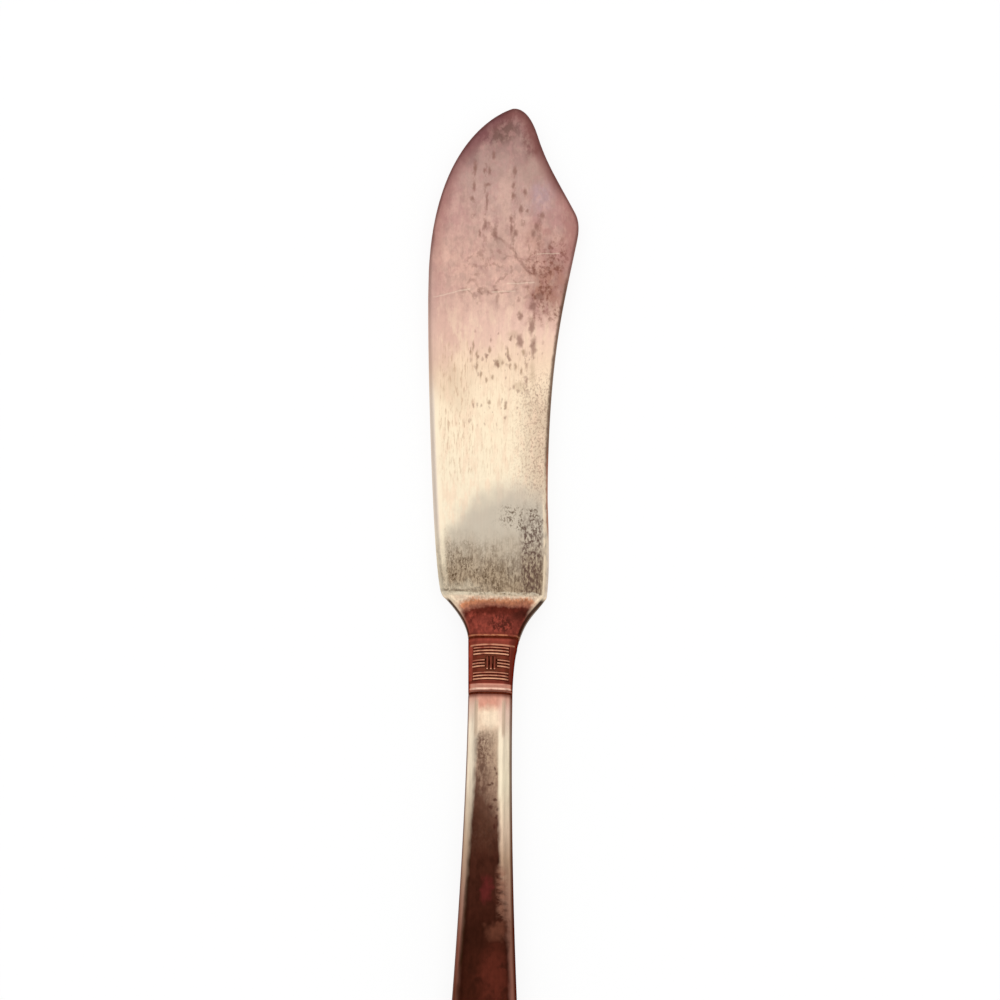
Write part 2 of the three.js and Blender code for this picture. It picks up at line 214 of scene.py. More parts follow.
def across(columns):
    """Shares of the width, crowded towards both edges."""
    return 0.5 - 0.5 * np.cos(np.linspace(0, np.pi, columns + 1))


def lip(distance):
    """How far a rounded end lies inside the full section, by the distance from that end."""
    short = np.clip(LIP - distance, 0, LIP)
    return LIP - np.sqrt(LIP**2 - short**2)


def rows_between(*spans):
    """Stations along Y from spans of (start, end, step), each reaching its end."""
    runs = [np.linspace(a, b, max(2, round(abs(b - a) / step) + 1)) for a, b, step in spans]
    return np.concatenate([runs[0]] + [run[1:] for run in runs[1:]])


def soften(reader, half_length):
    """A reader averaged along Y, so that its creases become fillets."""
    offsets = np.linspace(-half_length, half_length, SOFTEN_SAMPLES)
    return lambda y: np.mean([reader(y + offset) for offset in offsets], 0)


def sides(y, left, right):
    """The two side lines of an outline in plan."""
    return [np.stack([left, y], 1), np.stack([right, y], 1)]


def round_end(y, left, right):
    """The outline in plan as one line of points round the end where y stops."""
    one, other = sides(y, left, right)
    return [np.concatenate([one, other[::-1]])]


def half_skin(y, left, right, depth, land, roll, power, outline, columns, crown=0, foot=0):
    """One half of a flat piece's skin, as rows of points from its left seam over the face to its right seam.

    Heights are above the seam, from foot up. The edges roll over by their distance from the outline, so that
    the roll wraps round tips. Also returns each point's distance from the outline.
    """
    depth, land, roll, power, crown = (
        np.broadcast_to(value, y.shape)[:, None] for value in (depth, land, roll, power, crown)
    )
    width = (right - left)[:, None]
    x = left[:, None] + width * across(columns)
    edge = outline_distance(outline, x, np.broadcast_to(y[:, None], x.shape))
    edge[:, [0, -1]] = 0
    over = (1 - (1 - np.clip(edge / roll, 0, 1)) ** power) ** (1 / power)
    dome = crown * (1 - np.clip(2 * edge / width, 0, 1)) ** 2
    face = land / 2 + (depth - land / 2 - dome) * over
    wall = foot + (land / 2 - foot) * np.linspace(0, 1, WALL_STEPS + 1)[:-1]
    beside = np.ones(WALL_STEPS)
    x = np.hstack([left[:, None] * beside, x, right[:, None] * beside])
    z = np.hstack([wall, face, wall[:, ::-1]])
    edge = np.hstack([0 * wall, edge, 0 * wall])
    return np.stack([x, np.broadcast_to(y[:, None], x.shape), z], 2), edge


def full_rings(front, back):
    """Closed rings from a front and a back half skin: over the face to the right, then back underneath."""
    over, under = front.copy(), back[:, ::-1].copy()
    over[..., 2] = seam_z + over[..., 2]
    under[..., 2] = seam_z - under[..., 2]
    return np.concatenate([over, under[:, 1:-1]], 1)


def ring_values(front, back):
    """Values of a front and a back half skin in the order of their rings."""
    return np.concatenate([front, back[:, ::-1][:, 1:-1]], 1)


def box_ring(ring, half_x, half_z, y):
    """A ring drawn in to a rectangle about the seam, each point along its own direction."""
    x, z = ring[:, 0], ring[:, 2] - seam_z
    shrink = 1 / np.maximum(np.abs(x) / half_x, np.abs(z) / half_z)
    return np.stack([x * shrink, np.full(len(x), y), seam_z + z * shrink], 1)


def quads(index):
    """Faces between the neighbouring rows and columns of a grid of vertex numbers."""
    here, there = index[:-1], index[1:]
    return np.stack([here[:, :-1], here[:, 1:], there[:, 1:], there[:, :-1]], 2).reshape(-1, 4).tolist()


def ring_faces(rows, count, closed=False):
    """Faces between neighbouring rings; closed joins the last ring to the first."""
    index = np.arange(rows * count).reshape(rows, count)
    return quads(np.pad(index, ((0, int(closed)), (0, 1)), mode="wrap"))


def place(name, data):
    """A new object in the scene."""
    thing = bpy.data.objects.new(name, data)
    bpy.context.scene.collection.objects.link(thing)
    return thing


def make_piece(name, points, faces, node, slot, material, **attributes):
    """A smooth mesh piece that stands for a CAD node and rides on the knife's one body."""
    mesh = bpy.data.meshes.new(name)
    mesh.from_pydata((np.asarray(points).reshape(-1, 3) * MM).tolist(), [], faces)
    for key, values in attributes.items():
        layer = mesh.attributes.new(key, "FLOAT", "POINT")
        layer.data.foreach_set("value", np.ascontiguousarray(values, np.float32).ravel())
    mesh.shade_smooth()
    mesh.set_sharp_from_angle(angle=SHARP_ANGLE)
    mesh.materials.append(material)
    piece = place(name, mesh)
    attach(piece, "root")
    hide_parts(node)


# Stations of the knife, read from the frame
blade_points = node_points("blade")
front_points = node_points("handle_front_shell")
seam_low, seam_high = corners("seam_solder")
tip_y = blade_points[:, 1].max()
tang_y = blade_points[:, 1].min()
tang_end = blade_points[blade_points[:, 1] < tang_y + LEVEL]
tang_half_z = 0.5 * np.ptp(tang_end[:, 2])
tang_bore = (TANG_HALF_WIDTH + FIT_GAP, tang_half_z + FIT_GAP)
collar_top_y, shoulder_y = (corner[1] for corner in corners("shoulder_solder"))
mouth_y, collar_bottom_y = (corner[1] for corner in corners("mouth_solder"))
base_y = shoulder_y + SHOULDER_LENGTH
spigot_y = corners("collar")[0][1]
butt_y = front_points[:, 1].min()
end_y = butt_y + END_LENGTH
seam_z = 0.5 * (seam_low[2] + seam_high[2])
seam_half = 0.5 * (seam_high[2] - seam_low[2])
mouth_depth = front_points[front_points[:, 1] > mouth_y - LEVEL, 2].max() - seam_z
end_depth = front_points[:, 2].max() - seam_z
back_depth = seam_z - corners("handle_back_shell")[0][2]
above_collar = blade_points[blade_points[:, 1] > shoulder_y - LEVEL]
blade_left, blade_right, blade_bottom, blade_top = silhouette(above_collar)
collar_left, collar_right = silhouette(node_points("collar"), LEVEL)[:2]
handle_left, handle_right = silhouette(node_points("handle_back_shell"), LEVEL)[:2]


def make_blade(material):
    """The blade with its shoulder and tang."""
    hump_y = base_y + HUMP_FROM_BASE
    tip_rows = tip_y - TIP_ZONE * np.linspace(1, 0, TIP_STEPS) ** 2
    y = rows_between(
        (shoulder_y, shoulder_y + LIP, LIP / LIP_STEPS),
        (shoulder_y + LIP, base_y - CREASE_BELOW, SHOULDER_STEP),
        (base_y - CREASE_BELOW, base_y + CREASE_ABOVE, CREASE_STEP),
        (base_y + CREASE_ABOVE, hump_y - HUMP_ZONE, LONG_STEP),
        (hump_y - HUMP_ZONE, hump_y + HUMP_ZONE, HUMP_STEP),
        (hump_y + HUMP_ZONE, tip_y - TIP_ZONE, UPPER_STEP),
    )
    y = np.concatenate([y, tip_rows[1:]])
    inset = lip(y - shoulder_y)
    left, right = blade_left(y), blade_right(y)
    along = np.clip((y - shoulder_y) / SHOULDER_LENGTH, 0, 1)
    roll = ROLL_WIDTH + (BLADE_BEVEL - ROLL_WIDTH) * ease(along, 0, 1)
    power = ROLL_POWER + (BEVEL_POWER - ROLL_POWER) * along
    crown = CROWN * ease(along, 1, 0)
    outline = round_end(y, left, right)

    def skin(reach, side):
        depth = side * (soften(reach, CREASE_SOFTNESS)(y) - seam_z) - inset
        land = np.minimum(SIDE_LAND + (BLADE_EDGE_THICK - SIDE_LAND) * along, MOST_LAND * 2 * depth)
        return half_skin(
            y, left + inset, right - inset, depth, land, roll, power,
            outline, BLADE_COLUMNS, crown * (side > 0),
        )

    (front, front_edge), (back, back_edge) = skin(blade_top, 1), skin(blade_bottom, -1)
    rings = full_rings(front, back)
    tang = [
        box_ring(rings[0], half_x, tang_half_z, at)
        for half_x, at in (
            (tang_end[:, 0].max(), tang_y),
            (TANG_HALF_WIDTH, spigot_y),
            (TANG_HALF_WIDTH, shoulder_y),
        )
    ]
    rings = np.concatenate([tang, rings])
    rows, count = rings.shape[:2]
    faces = ring_faces(rows, count)
    faces.append(tuple(range(count))[::-1])
    faces.append(tuple(range((rows - 1) * count, rows * count)))
    edge = np.concatenate([np.zeros((len(tang), count)), ring_values(front_edge, back_edge)])
    make_piece("blade_plated", rings, faces, "blade", "blade_plate", material, edge=edge)


def rib(distance, width):
    """The rounded profile of a rib, 1 on its crest and 0 beyond its width."""
    return np.clip(1 - (2 * distance / width) ** 2, 0, 1) ** RIB_FULLNESS


def within(value, low, high):
    """1 between two limits and 0 outside, with soft edges."""
    return ease(value, low - SOFT_EDGE, low + SOFT_EDGE) * ease(value, high + SOFT_EDGE, high - SOFT_EDGE)


def collar_relief(x, down):
    """Height of the collar's ornament over its plain face, by place across and distance down from its top.

    Also returns the painted highlight at each place, below 0 on the sunken ground.
    """
    middle = PANEL_TOP + PANEL_LENGTH / 2
    aside = np.abs(x)
    bowed = down - REED_BOW * np.minimum(aside / PANEL_HALF, 1) ** 2
    foot = ease((down - middle) / UPRIGHT_HALF_LENGTH, *UPRIGHT_FOOT)
    raised = np.zeros_like(x)
    shine = np.zeros_like(x)
    for i in range(REED_GROUP):
        from_middle = i - (REED_GROUP - 1) / 2
        long_reed_at = PANEL_LENGTH / 2 - (i + 0.5) * REED_PITCH
        long_reed = rib(np.abs(bowed - middle) - long_reed_at, REED_WIDTH)
        long_reed = long_reed * within(aside, -1, LONG_REED_HALF)
        short_reed = rib(bowed - middle - from_middle * REED_PITCH, REED_WIDTH)
        short_reed = short_reed * within(aside, SHORT_REED_START, PANEL_HALF)
        upright = rib(x - from_middle * UPRIGHT_PITCH, UPRIGHT_WIDTH)
        upright = upright * within(np.abs(down - middle), -1, UPRIGHT_HALF_LENGTH)
        raised = np.maximum.reduce([raised, long_reed, short_reed, upright])
        order = np.where(bowed < middle + PANEL_LENGTH / 4, i, REED_GROUP - 1 - i) / (REED_GROUP - 1)
        reed_shine = np.maximum(long_reed, short_reed) * (FIRST_SHINE + (1 - FIRST_SHINE) * order)
        upright_shine = upright * (UPRIGHT_SHINE + (1 - UPRIGHT_SHINE) * foot)
        shine = np.maximum.reduce([shine, reed_shine, upright_shine])
    ground = within(aside, -1, PANEL_HALF) * within(np.abs(bowed - middle), -1, PANEL_LENGTH / 2)
    frame_reed = rib(bowed - FRAME_REED_AT, REED_WIDTH)
    bottom = collar_top_y - collar_bottom_y
    bead = ease(down, BEAD_START, BEAD_CREST) * ease(down, bottom + LIP, BEAD_CREST)
    panel = ground * (raised * (PANEL_DEPTH + REED_PROUD) - PANEL_DEPTH)
    shine = 2 * np.maximum(shine, FRAME_SHINE * frame_reed) - ground
    return panel + REED_PROUD * frame_reed + BEAD_PROUD * bead, shine


def grid_normals(grid):
    """Unit normals of a grid of points, out of the side that its columns and rows face."""
    normal = np.cross(np.gradient(grid, axis=1), np.gradient(grid, axis=0))
    return normal / np.linalg.norm(normal, axis=2, keepdims=True)


def make_collar(material):
    """The ornamented collar, its spigot, and the bore that the tang passes through."""
    y = rows_between(
        (collar_bottom_y, collar_bottom_y + LIP, LIP / LIP_STEPS),
        (collar_bottom_y + LIP, collar_top_y - LIP, COLLAR_STEP),
        (collar_top_y - LIP, collar_top_y, LIP / LIP_STEPS),
    )
    inset = np.maximum(lip(y - collar_bottom_y), lip(collar_top_y - y))
    left, right = collar_left(y), collar_right(y)
    outline = sides(y, left, right)

    def skin(rows, inward, depth, columns, crown=0):
        return half_skin(
            y[rows], left[rows] + inward, right[rows] - inward, depth - inward,
            SIDE_LAND, ROLL_WIDTH, ROLL_POWER, outline, columns, crown,
        )

    every = slice(None)
    front, front_edge = skin(every, inset, mouth_depth, COLLAR_COLUMNS, CROWN)
    back, back_edge = skin(every, inset, back_depth, BACK_COLUMNS)
    relief, shine = collar_relief(front[..., 0], collar_top_y - front[..., 1])
    relief = relief * ease(front_edge, *RELIEF_EDGE)
    shine = shine * ease(front_edge, *SHINE_EDGE)
    rings = full_rings(front + relief[..., None] * grid_normals(front), back)
    bottom = slice(0, 1)
    fit = np.array([WALL + FIT_GAP])
    spigot = full_rings(
        skin(bottom, fit, mouth_depth, COLLAR_COLUMNS)[0],
        skin(bottom, fit, back_depth, BACK_COLUMNS)[0],
    )
    spigot_end = spigot + np.array([0, spigot_y - collar_bottom_y, 0])
    bore = [box_ring(rings[0], *tang_bore, at) for at in (collar_top_y, spigot_y)]
    rings = np.concatenate([spigot_end, spigot, rings, bore])
    rows, count = rings.shape[:2]
    hidden = np.zeros((2, count))
    edge, painted_highlight = (
        np.concatenate([hidden, ring_values(*pair), hidden])
        for pair in ((front_edge, back_edge), (shine, 0 * back_edge))
    )
    faces = ring_faces(rows, count, closed=True)
    make_piece("collar_plated", rings, faces, "collar", "collar_plate", material, edge=edge, shine=painted_highlight)


def make_joint(name, node, low_y, high_y, left, right, bore, material):
    """A ring of solder that fills a joint almost flush. bore is its wall, or None for the tang's passage."""
    y = np.linspace(low_y, high_y, LIP_STEPS)
    left, right = (np.broadcast_to(side, y.shape) for side in (left, right))
    outline = sides(y, left, right)

    def skin(inward, depth, crown):
        return half_skin(
            y, left + inward, right - inward, depth - inward,
            SIDE_LAND, ROLL_WIDTH, ROLL_POWER, outline, HANDLE_COLUMNS, crown,
        )[0]

    def rings(inward):
        return full_rings(skin(inward, mouth_depth, CROWN), skin(inward, back_depth, 0))

    outer = rings(JOINT_RECESS)
    if bore is None:
        inner = np.array([box_ring(ring, *tang_bore, at) for ring, at in zip(outer, y)])
    else:
        inner = rings(bore)
    loop = np.concatenate([outer, inner[::-1]])
    faces = ring_faces(*loop.shape[:2], closed=True)
    make_piece(name, loop, faces, node, "solder", material)


def handle_half(y, inward):
    """Half the handle's width at each y, drawn in by a wall, with its round end."""
    reach = END_LENGTH - inward
    full = 0.5 * (handle_right(y) - handle_left(y)) - inward
    return full * np.sqrt(np.clip(1 - (np.clip(end_y - y, 0, reach) / reach) ** 2, 0, 1))


def shell_skin(inward, mouth_reach, end_reach, crowned):
    """A skin of a half shell, from the butt to the mouth, with its distances from the outline.

    inward is 0 or the wall. The reaches are its depths at the mouth and from the round end on.
    """
    turn = np.linspace(END_TURN, 0, END_STEPS)
    y = np.concatenate([
        end_y - (END_LENGTH - inward) * np.sin(turn),
        rows_between((end_y, mouth_y - LIP, LONG_STEP), (mouth_y - LIP, mouth_y, LIP / LIP_STEPS))[1:],
    ])
    inset = lip(mouth_y - y) if inward == 0 else np.zeros_like(y)
    crown = crowned * (CROWN + (END_CROWN - CROWN) * ease(mouth_y - y, 0, CROWN_FADE))
    half = handle_half(y, inward)
    along = np.clip((mouth_y - y) / (mouth_y - butt_y), 0, 1)
    roll = ROLL_WIDTH + (END_ROLL_WIDTH - ROLL_WIDTH) * along
    depth = mouth_reach + (end_reach - mouth_reach) * np.clip((mouth_y - y) / (mouth_y - end_y), 0, 1)
    outline = round_end(y[::-1], -half[::-1], half[::-1])
    return half_skin(
        y, inset - half, half - inset, depth - inward - inset, SIDE_LAND, roll, ROLL_POWER,
        outline, HANDLE_COLUMNS, crown, seam_half,
    )


def make_shell(name, node, mouth_reach, end_reach, side, material):
    """One half shell of the hollow handle: skins, seam rims and open mouth. side is 1 in front, else -1."""
    (outer, outer_edge), (inner, _) = (
        shell_skin(inward, mouth_reach, end_reach, side > 0) for inward in (0, WALL)
    )
    points = np.concatenate([outer, inner])
    points[..., 2] = seam_z + side * points[..., 2]
    outside, inside = np.arange(points.size // 3).reshape(2, *outer.shape[:2])
    left_rim, right_rim = (np.stack([inside[:, i], outside[:, i]], 1) for i in (0, -1))
    mouth = np.stack([outside[-1], inside[-1]])
    butt = np.stack([outside[0, [0, -1]], inside[0, [0, -1]]], 1)
    faces = [face[::side] for grid in (outside, left_rim, mouth, butt) for face in quads(grid)]
    faces += [face[::-side] for grid in (inside, right_rim) for face in quads(grid)]
    faces.append(outside[0, ::-side].tolist())
    faces.append(inside[0, ::side].tolist())
    edge = np.concatenate([outer_edge, np.zeros_like(outer_edge)])
    make_piece(name, points, faces, node, "handle_plate", material, edge=edge)


def colour(red, green, blue):
    """A colour written as 0 to 255 on a screen, as the linear colour that a shader takes."""
    scaled = (value / 255 for value in (red, green, blue))
    return (*(v / 12.92 if v <= 0.04045 else ((v + 0.055) / 1.055) ** 2.4 for v in scaled), 1)


# Colours of the tarnish, and of the light and shade painted over it
PALE_CREAM = colour(251, 236, 208)
CREAM = colour(248, 230, 200)
SAND = colour(240, 226, 200)
PALE_PEACH = colour(248, 226, 196)
PEACH = colour(241, 212, 184)
BLUSH = colour(250, 208, 184)
BISCUIT = colour(206, 180, 154)
TAN = colour(196, 162, 134)
SILVER_GREY = colour(194, 182, 165)
OLIVE_GREY = colour(168, 143, 113)
OLIVE_BROWN = colour(80, 58, 38)
DARK_OLIVE = colour(56, 40, 18)
SHELL_PINK = colour(233, 195, 177)
ROSE = colour(219, 180, 163)
DUSTY_ROSE = colour(212, 170, 154)
MAUVE_ROSE = colour(195, 160, 149)
MAUVE = colour(180, 146, 137)
DEEP_MAUVE = colour(148, 113, 107)
PLUM_GREY = colour(122, 86, 85)
PLUM = colour(100, 58, 66)
WINE = colour(110, 66, 62)
DUSKY_ROSE = colour(158, 104, 98)
DUSKY_PINK = colour(184, 138, 132)
TAUPE = colour(178, 146, 134)
UMBER = colour(120, 89, 81)
LILAC_GREY = colour(178, 146, 148)
PALE_LILAC = colour(222, 205, 192)
PALE_SPECK = colour(158, 126, 102)
SPECK_BROWN = colour(136, 98, 86)
RUSSET = colour(152, 100, 84)
RUST_BROWN = colour(116, 68, 54)
LINE_BROWN = colour(112, 84, 68)
# Painted shade along the handle's outline, on its right and left
DARK_EDGE_SHADE = colour(80, 53, 45)
GREY_EDGE_SHADE = colour(150, 132, 128)
COPPER = colour(160, 102, 82)
SMEAR_COPPER = colour(150, 104, 84)
DARK_COPPER = colour(108, 63, 47)
MAROON = colour(98, 40, 30)
DARK_MAROON = colour(64, 28, 21)
GROUND_BROWN = colour(98, 44, 28)
BRICK = colour(150, 69, 55)
DULL_BRICK = colour(128, 58, 47)
ORANGE = colour(206, 136, 98)
SALMON = colour(214, 152, 131)
PINK_COPPER = colour(244, 184, 146)
DARK_UMBER = colour(92, 62, 50)
DARK_RED = colour(92, 40, 29)
CRIMSON = colour(92, 34, 32)
NEAR_BLACK = colour(44, 20, 12)
PLUM_BROWN = colour(88, 64, 56)
GLANCE = colour(214, 200, 190)  # tint of light that grazes the plate
DARK_GLANCE = colour(150, 116, 104)  # the same on dark tarnish

# Marks on the blade, by their place across and up from its base.
# Patches: across, up, half-width, half-height, colour, strength
BLADE_PATCHES = (
    (0.9, 75.8, 1.6, 1.4, PLUM, 0.45),
    (-0.8, 75, 1.7, 1.7, PLUM, 0.7),
    (-3, 72.8, 2, 1.7, PLUM, 0.6),
    (-5, 69.6, 1.5, 2.4, PLUM, 0.3),
    (0.2, 73.4, 2.4, 1.9, UMBER, 0.8),
    (2.8, 69.6, 1.9, 1.9, DEEP_MAUVE, 0.4),
    (9.6, 60.4, 2, 2.4, DUSKY_PINK, 0.6),
    (-7.8, 41.4, 2.6, 3.2, DUSTY_ROSE, 0.6),
    (-8.2, 33.6, 2.2, 3.6, TAN, 0.25),
    (-0.6, 66, 3, 3, MAUVE, 0.5),
    (4.8, 72, 0.9, 3.6, WINE, 0.65),
    (0.8, 62.5, 1, 5.5, ROSE, 0.35),
    (4.6, 66.8, 2, 2, TAUPE, 0.6),
    (6.8, 62.6, 2.2, 2.6, LILAC_GREY, 0.85),
    (7.4, 58.6, 2.6, 2.2, DUSKY_PINK, 0.8),
    (10.8, 58.4, 1.3, 3.4, DUSKY_ROSE, 0.55),
    (-7.4, 60.5, 2.4, 5, DUSKY_PINK, 0.6),
    (0.1, 54.6, 2, 1.8, TAUPE, 0.65),
    (6, 56.6, 1.8, 2, RUSSET, 0.3),
    (8.6, 53, 2.6, 2.6, DUSKY_PINK, 0.75),
    (8, 48.4, 2.6, 3.6, RUSSET, 0.65),
    (6.8, 46, 1.8, 2.2, RUSSET, 0.4),
    (6.2, 44.6, 1.4, 1.8, DUSKY_PINK, 0.6),
    (-8.8, 47, 2, 4.6, DUSKY_PINK, 0.45),
    (-8.4, 39.6, 2, 5.4, ROSE, 0.6),
    (-4, 40.4, 4, 2.2, ROSE, 0.35),
    (-5.6, 31.6, 2.2, 3.4, TAN, 0.25),
    (2.4, 2.4, 3, 2, OLIVE_BROWN, 0.2),
)
# Columns of faint long specks: across, from and to
SPECK_COLUMNS = (
    (-4, 59, 68), (-2.2, 54, 69), (-0.6, 53, 58), (2, 54, 68),
    (3.6, 58, 64), (6, 53, 60), (5.4, 37, 46), (4.4, 31, 37),
)
# Specks and spots: across, up, half-width, half-height
SPECKS = (
    (-3.9, 67.2, 0.22, 0.9), (-4, 64.2, 0.22, 0.8), (-4.3, 62.2, 0.28, 0.35), (-1.1, 69.3, 0.25, 0.6),
    (-1.7, 66.7, 0.22, 0.6), (-2.5, 66.8, 0.18, 0.4), (-1.9, 64.5, 0.42, 0.3), (-2, 61.9, 0.18, 1.1),
    (-2.2, 58, 0.2, 0.9), (-3, 56.5, 0.18, 0.6), (-0.7, 56.7, 0.3, 0.7), (2.2, 66.8, 0.28, 0.7),
    (2, 64.4, 0.22, 0.5), (2, 62.9, 0.25, 0.5), (3.8, 63.4, 0.25, 0.5), (3.2, 60.6, 0.28, 0.6),
    (4.2, 60.3, 0.22, 0.3), (1.7, 59, 0.2, 0.5), (1.8, 57.5, 0.2, 0.8), (2.5, 56.7, 0.3, 0.5),
    (6.5, 59.6, 0.32, 0.55), (5.6, 57.8, 0.3, 0.6), (5.2, 56.6, 0.3, 0.6), (-3.6, 38.5, 0.16, 0.7),
    (-4, 37.6, 0.14, 0.6), (-3, 37, 0.16, 0.8), (-3, 35.2, 0.14, 0.8), (-2.4, 34, 0.18, 0.5),
    (-1.5, 33.1, 0.18, 0.4), (-1.1, 37.9, 0.2, 0.5), (-0.6, 33.5, 0.2, 0.4), (0.2, 35.5, 0.18, 0.5),
    (1.6, 37.6, 0.16, 0.6), (2, 35.3, 0.14, 0.5), (2.8, 35.3, 0.18, 0.5), (3.7, 34.6, 0.16, 0.5),
    (4, 37.6, 0.26, 0.5), (-1, 29.6, 0.2, 0.4), (1.4, 29, 0.16, 0.4),
)
DARK_SPOTS = (
    (3.36, 43.3, 0.3, 0.7), (3.42, 39.4, 0.45, 0.95), (0, 35.7, 0.3, 0.6), (2, 39.8, 0.2, 0.5),
    (1.8, 36.6, 0.2, 0.6), (-1.6, 36.8, 0.25, 0.4), (5.3, 44.8, 0.45, 0.7), (5.1, 41.6, 0.4, 1.2),
    (5.5, 38.6, 0.4, 1.3), (6.3, 46.6, 0.6, 0.5),
)
TAN_SPOTS = (
    (3.4, 32.2, 0.9, 0.7), (0.4, 36, 0.6, 0.7), (2.4, 40.4, 0.8, 0.7), (5.4, 34.5, 0.4, 2),
)
# Lines of points across and up; the water marks are the dried edges of spilt water
SCRATCHES = (
    ((5.8, 53.4), (9.0, 53.6)),
    ((1.3, 48.5), (5.4, 48.9)),
    ((-9.8, 46.2), (-4.2, 47.6)),
    ((-1.0, 47.2), (2.6, 47.4)),
    ((-6.9, 4.4), (-4.4, 4.9)),
    ((-6.6, 3.2), (-4.8, 3.5)),
)
WATER_MARKS = (
    ((-1.6, 58.2), (-1.0, 56.4), (0.6, 55.4), (2.0, 54.2), (2.7, 52.6)),
    ((4.6, 54.6), (4.5, 53.6), (5.2, 52.4), (5.3, 51.0), (5.9, 49.8)),
    ((2.5, 53), (3.4, 51.7), (4.5, 50.7)),
    ((-3.8, 49.3), (-3.1, 48.1), (-2.8, 46.8), (-2.8, 45.6)),
    ((-2.9, 47.6), (-2.2, 47.8), (-1.2, 47.1), (0, 47.3)),
)

# Colours along the blade, by distance up from its base: tarnish, with painted reflection mixed into its
# tones
BLADE_COLOURS = (
    (8, SAND), (24, CREAM), (31, PALE_PEACH), (36, PEACH), (41, SHELL_PINK), (46, ROSE),
    (52, DUSTY_ROSE), (62, MAUVE_ROSE), (68, MAUVE), (72, DEEP_MAUVE), (76, PLUM_GREY),
)
# Red tarnish up the shoulder; the maroon band is painted dark reflection, the orange to peach top a painted
# highlight
SHOULDER_COLOURS = (
    (-SHOULDER_LENGTH, DULL_BRICK), (-3.6, DULL_BRICK), (-2.8, MAROON), (-2.15, MAROON),
    (-1.6, COPPER), (-0.85, ORANGE), (-0.25, PEACH),
)
# Painted highlight along the shoulder's bevels
SHOULDER_RIM = ((-5.4, BRICK), (-4, SALMON), (-2.4, PEACH), (-0.8, PALE_PEACH))

# Colours along the handle, by distance down from its mouth
# Down the middle: a painted cream highlight about 2.8 to 4.4 down, then tarnish darkening downwards, partly
# painted dark reflection
HANDLE_CORE = (
    (0.3, SALMON),
    (1.6, colour(208, 148, 127)),
    (2.8, colour(234, 204, 176)),
    (4.4, colour(236, 208, 180)),
    (5.8, colour(196, 170, 145)),
    (9, colour(176, 148, 124)),
    (13.5, colour(158, 128, 107)),
    (17, colour(98, 66, 52)),
    (20, colour(82, 50, 37)),
    (24, colour(68, 35, 25)),
    (34, colour(58, 26, 17)),
    (44, colour(60, 26, 16)),
)
# Pale sides, by distance down from the mouth: worn plate and painted reflection
LEFT_STRIP = (
    (0, SALMON),
    (1.6, colour(234, 198, 176)),
    (4.5, colour(255, 236, 210)),
    (9, colour(250, 232, 206)),
    (14, colour(232, 213, 188)),
    (22, colour(190, 162, 137)),
    (29, colour(164, 126, 108)),
    (36, colour(138, 90, 78)),
    (43, colour(104, 66, 54)),
)
RIGHT_STRIP = (
    (0, SALMON),
    (2.6, colour(242, 206, 186)),
    (7, colour(250, 232, 204)),
    (13, colour(246, 230, 200)),
    (20, colour(224, 196, 170)),
    (24, colour(184, 152, 126)),
    (29, colour(168, 128, 108)),
    (34, colour(138, 96, 80)),
    (42, colour(142, 92, 78)),
)
# Marks on the handle, as on the blade but down from its mouth
HANDLE_PATCHES = (
    # The pale cream patch is a painted highlight below the mouth
    (0.2, 3.6, 1.3, 1.2, PALE_CREAM, 0.35),
    (-0.1, 28.4, 0.9, 1.8, CRIMSON, 0.8),
    (1.3, 41, 2, 4, DARK_RED, 0.75),
    (-1.4, 34.8, 1.8, 2.2, NEAR_BLACK, 0.5),
    (1.7, 34.4, 1.7, 1.2, DARK_COPPER, 0.6),
    (2.7, 33.2, 0.9, 0.35, DARK_COPPER, 0.5),
    (2.8, 39.2, 1, 0.4, NEAR_BLACK, 0.5),
)
HANDLE_DROPS = (
    (0.9, 11, 0.16, 0.3), (1.1, 11.7, 0.14, 0.25), (0.1, 13.4, 0.28, 0.16), (0.5, 13.2, 0.2, 0.25),
    (1, 15.5, 0.26, 0.22), (0.4, 16.6, 0.3, 0.3), (1.4, 16.9, 0.24, 0.22), (1.2, 18, 0.2, 0.3),
    (1.5, 19, 0.22, 0.45), (1, 19.4, 0.2, 0.4),
)
SOLDER_COLOURS = ((0.3, colour(72, 20, 7)), (0.7, colour(110, 46, 27)))
CEMENT_COLOURS = ((0.3, colour(96, 82, 70)), (0.7, colour(150, 134, 116)))

# Finish of the metal
BLADE_ROUGHNESS = (0.27, 0.37)
DARK_ROUGHNESS = 0.33
GRAIN_LEVELS = (0.3, 0.7)  # between which nearly all values of the grain lie
SEED_STEP = (17.3, 9.1, 5.7)  # how far apart two seeds look into a noise


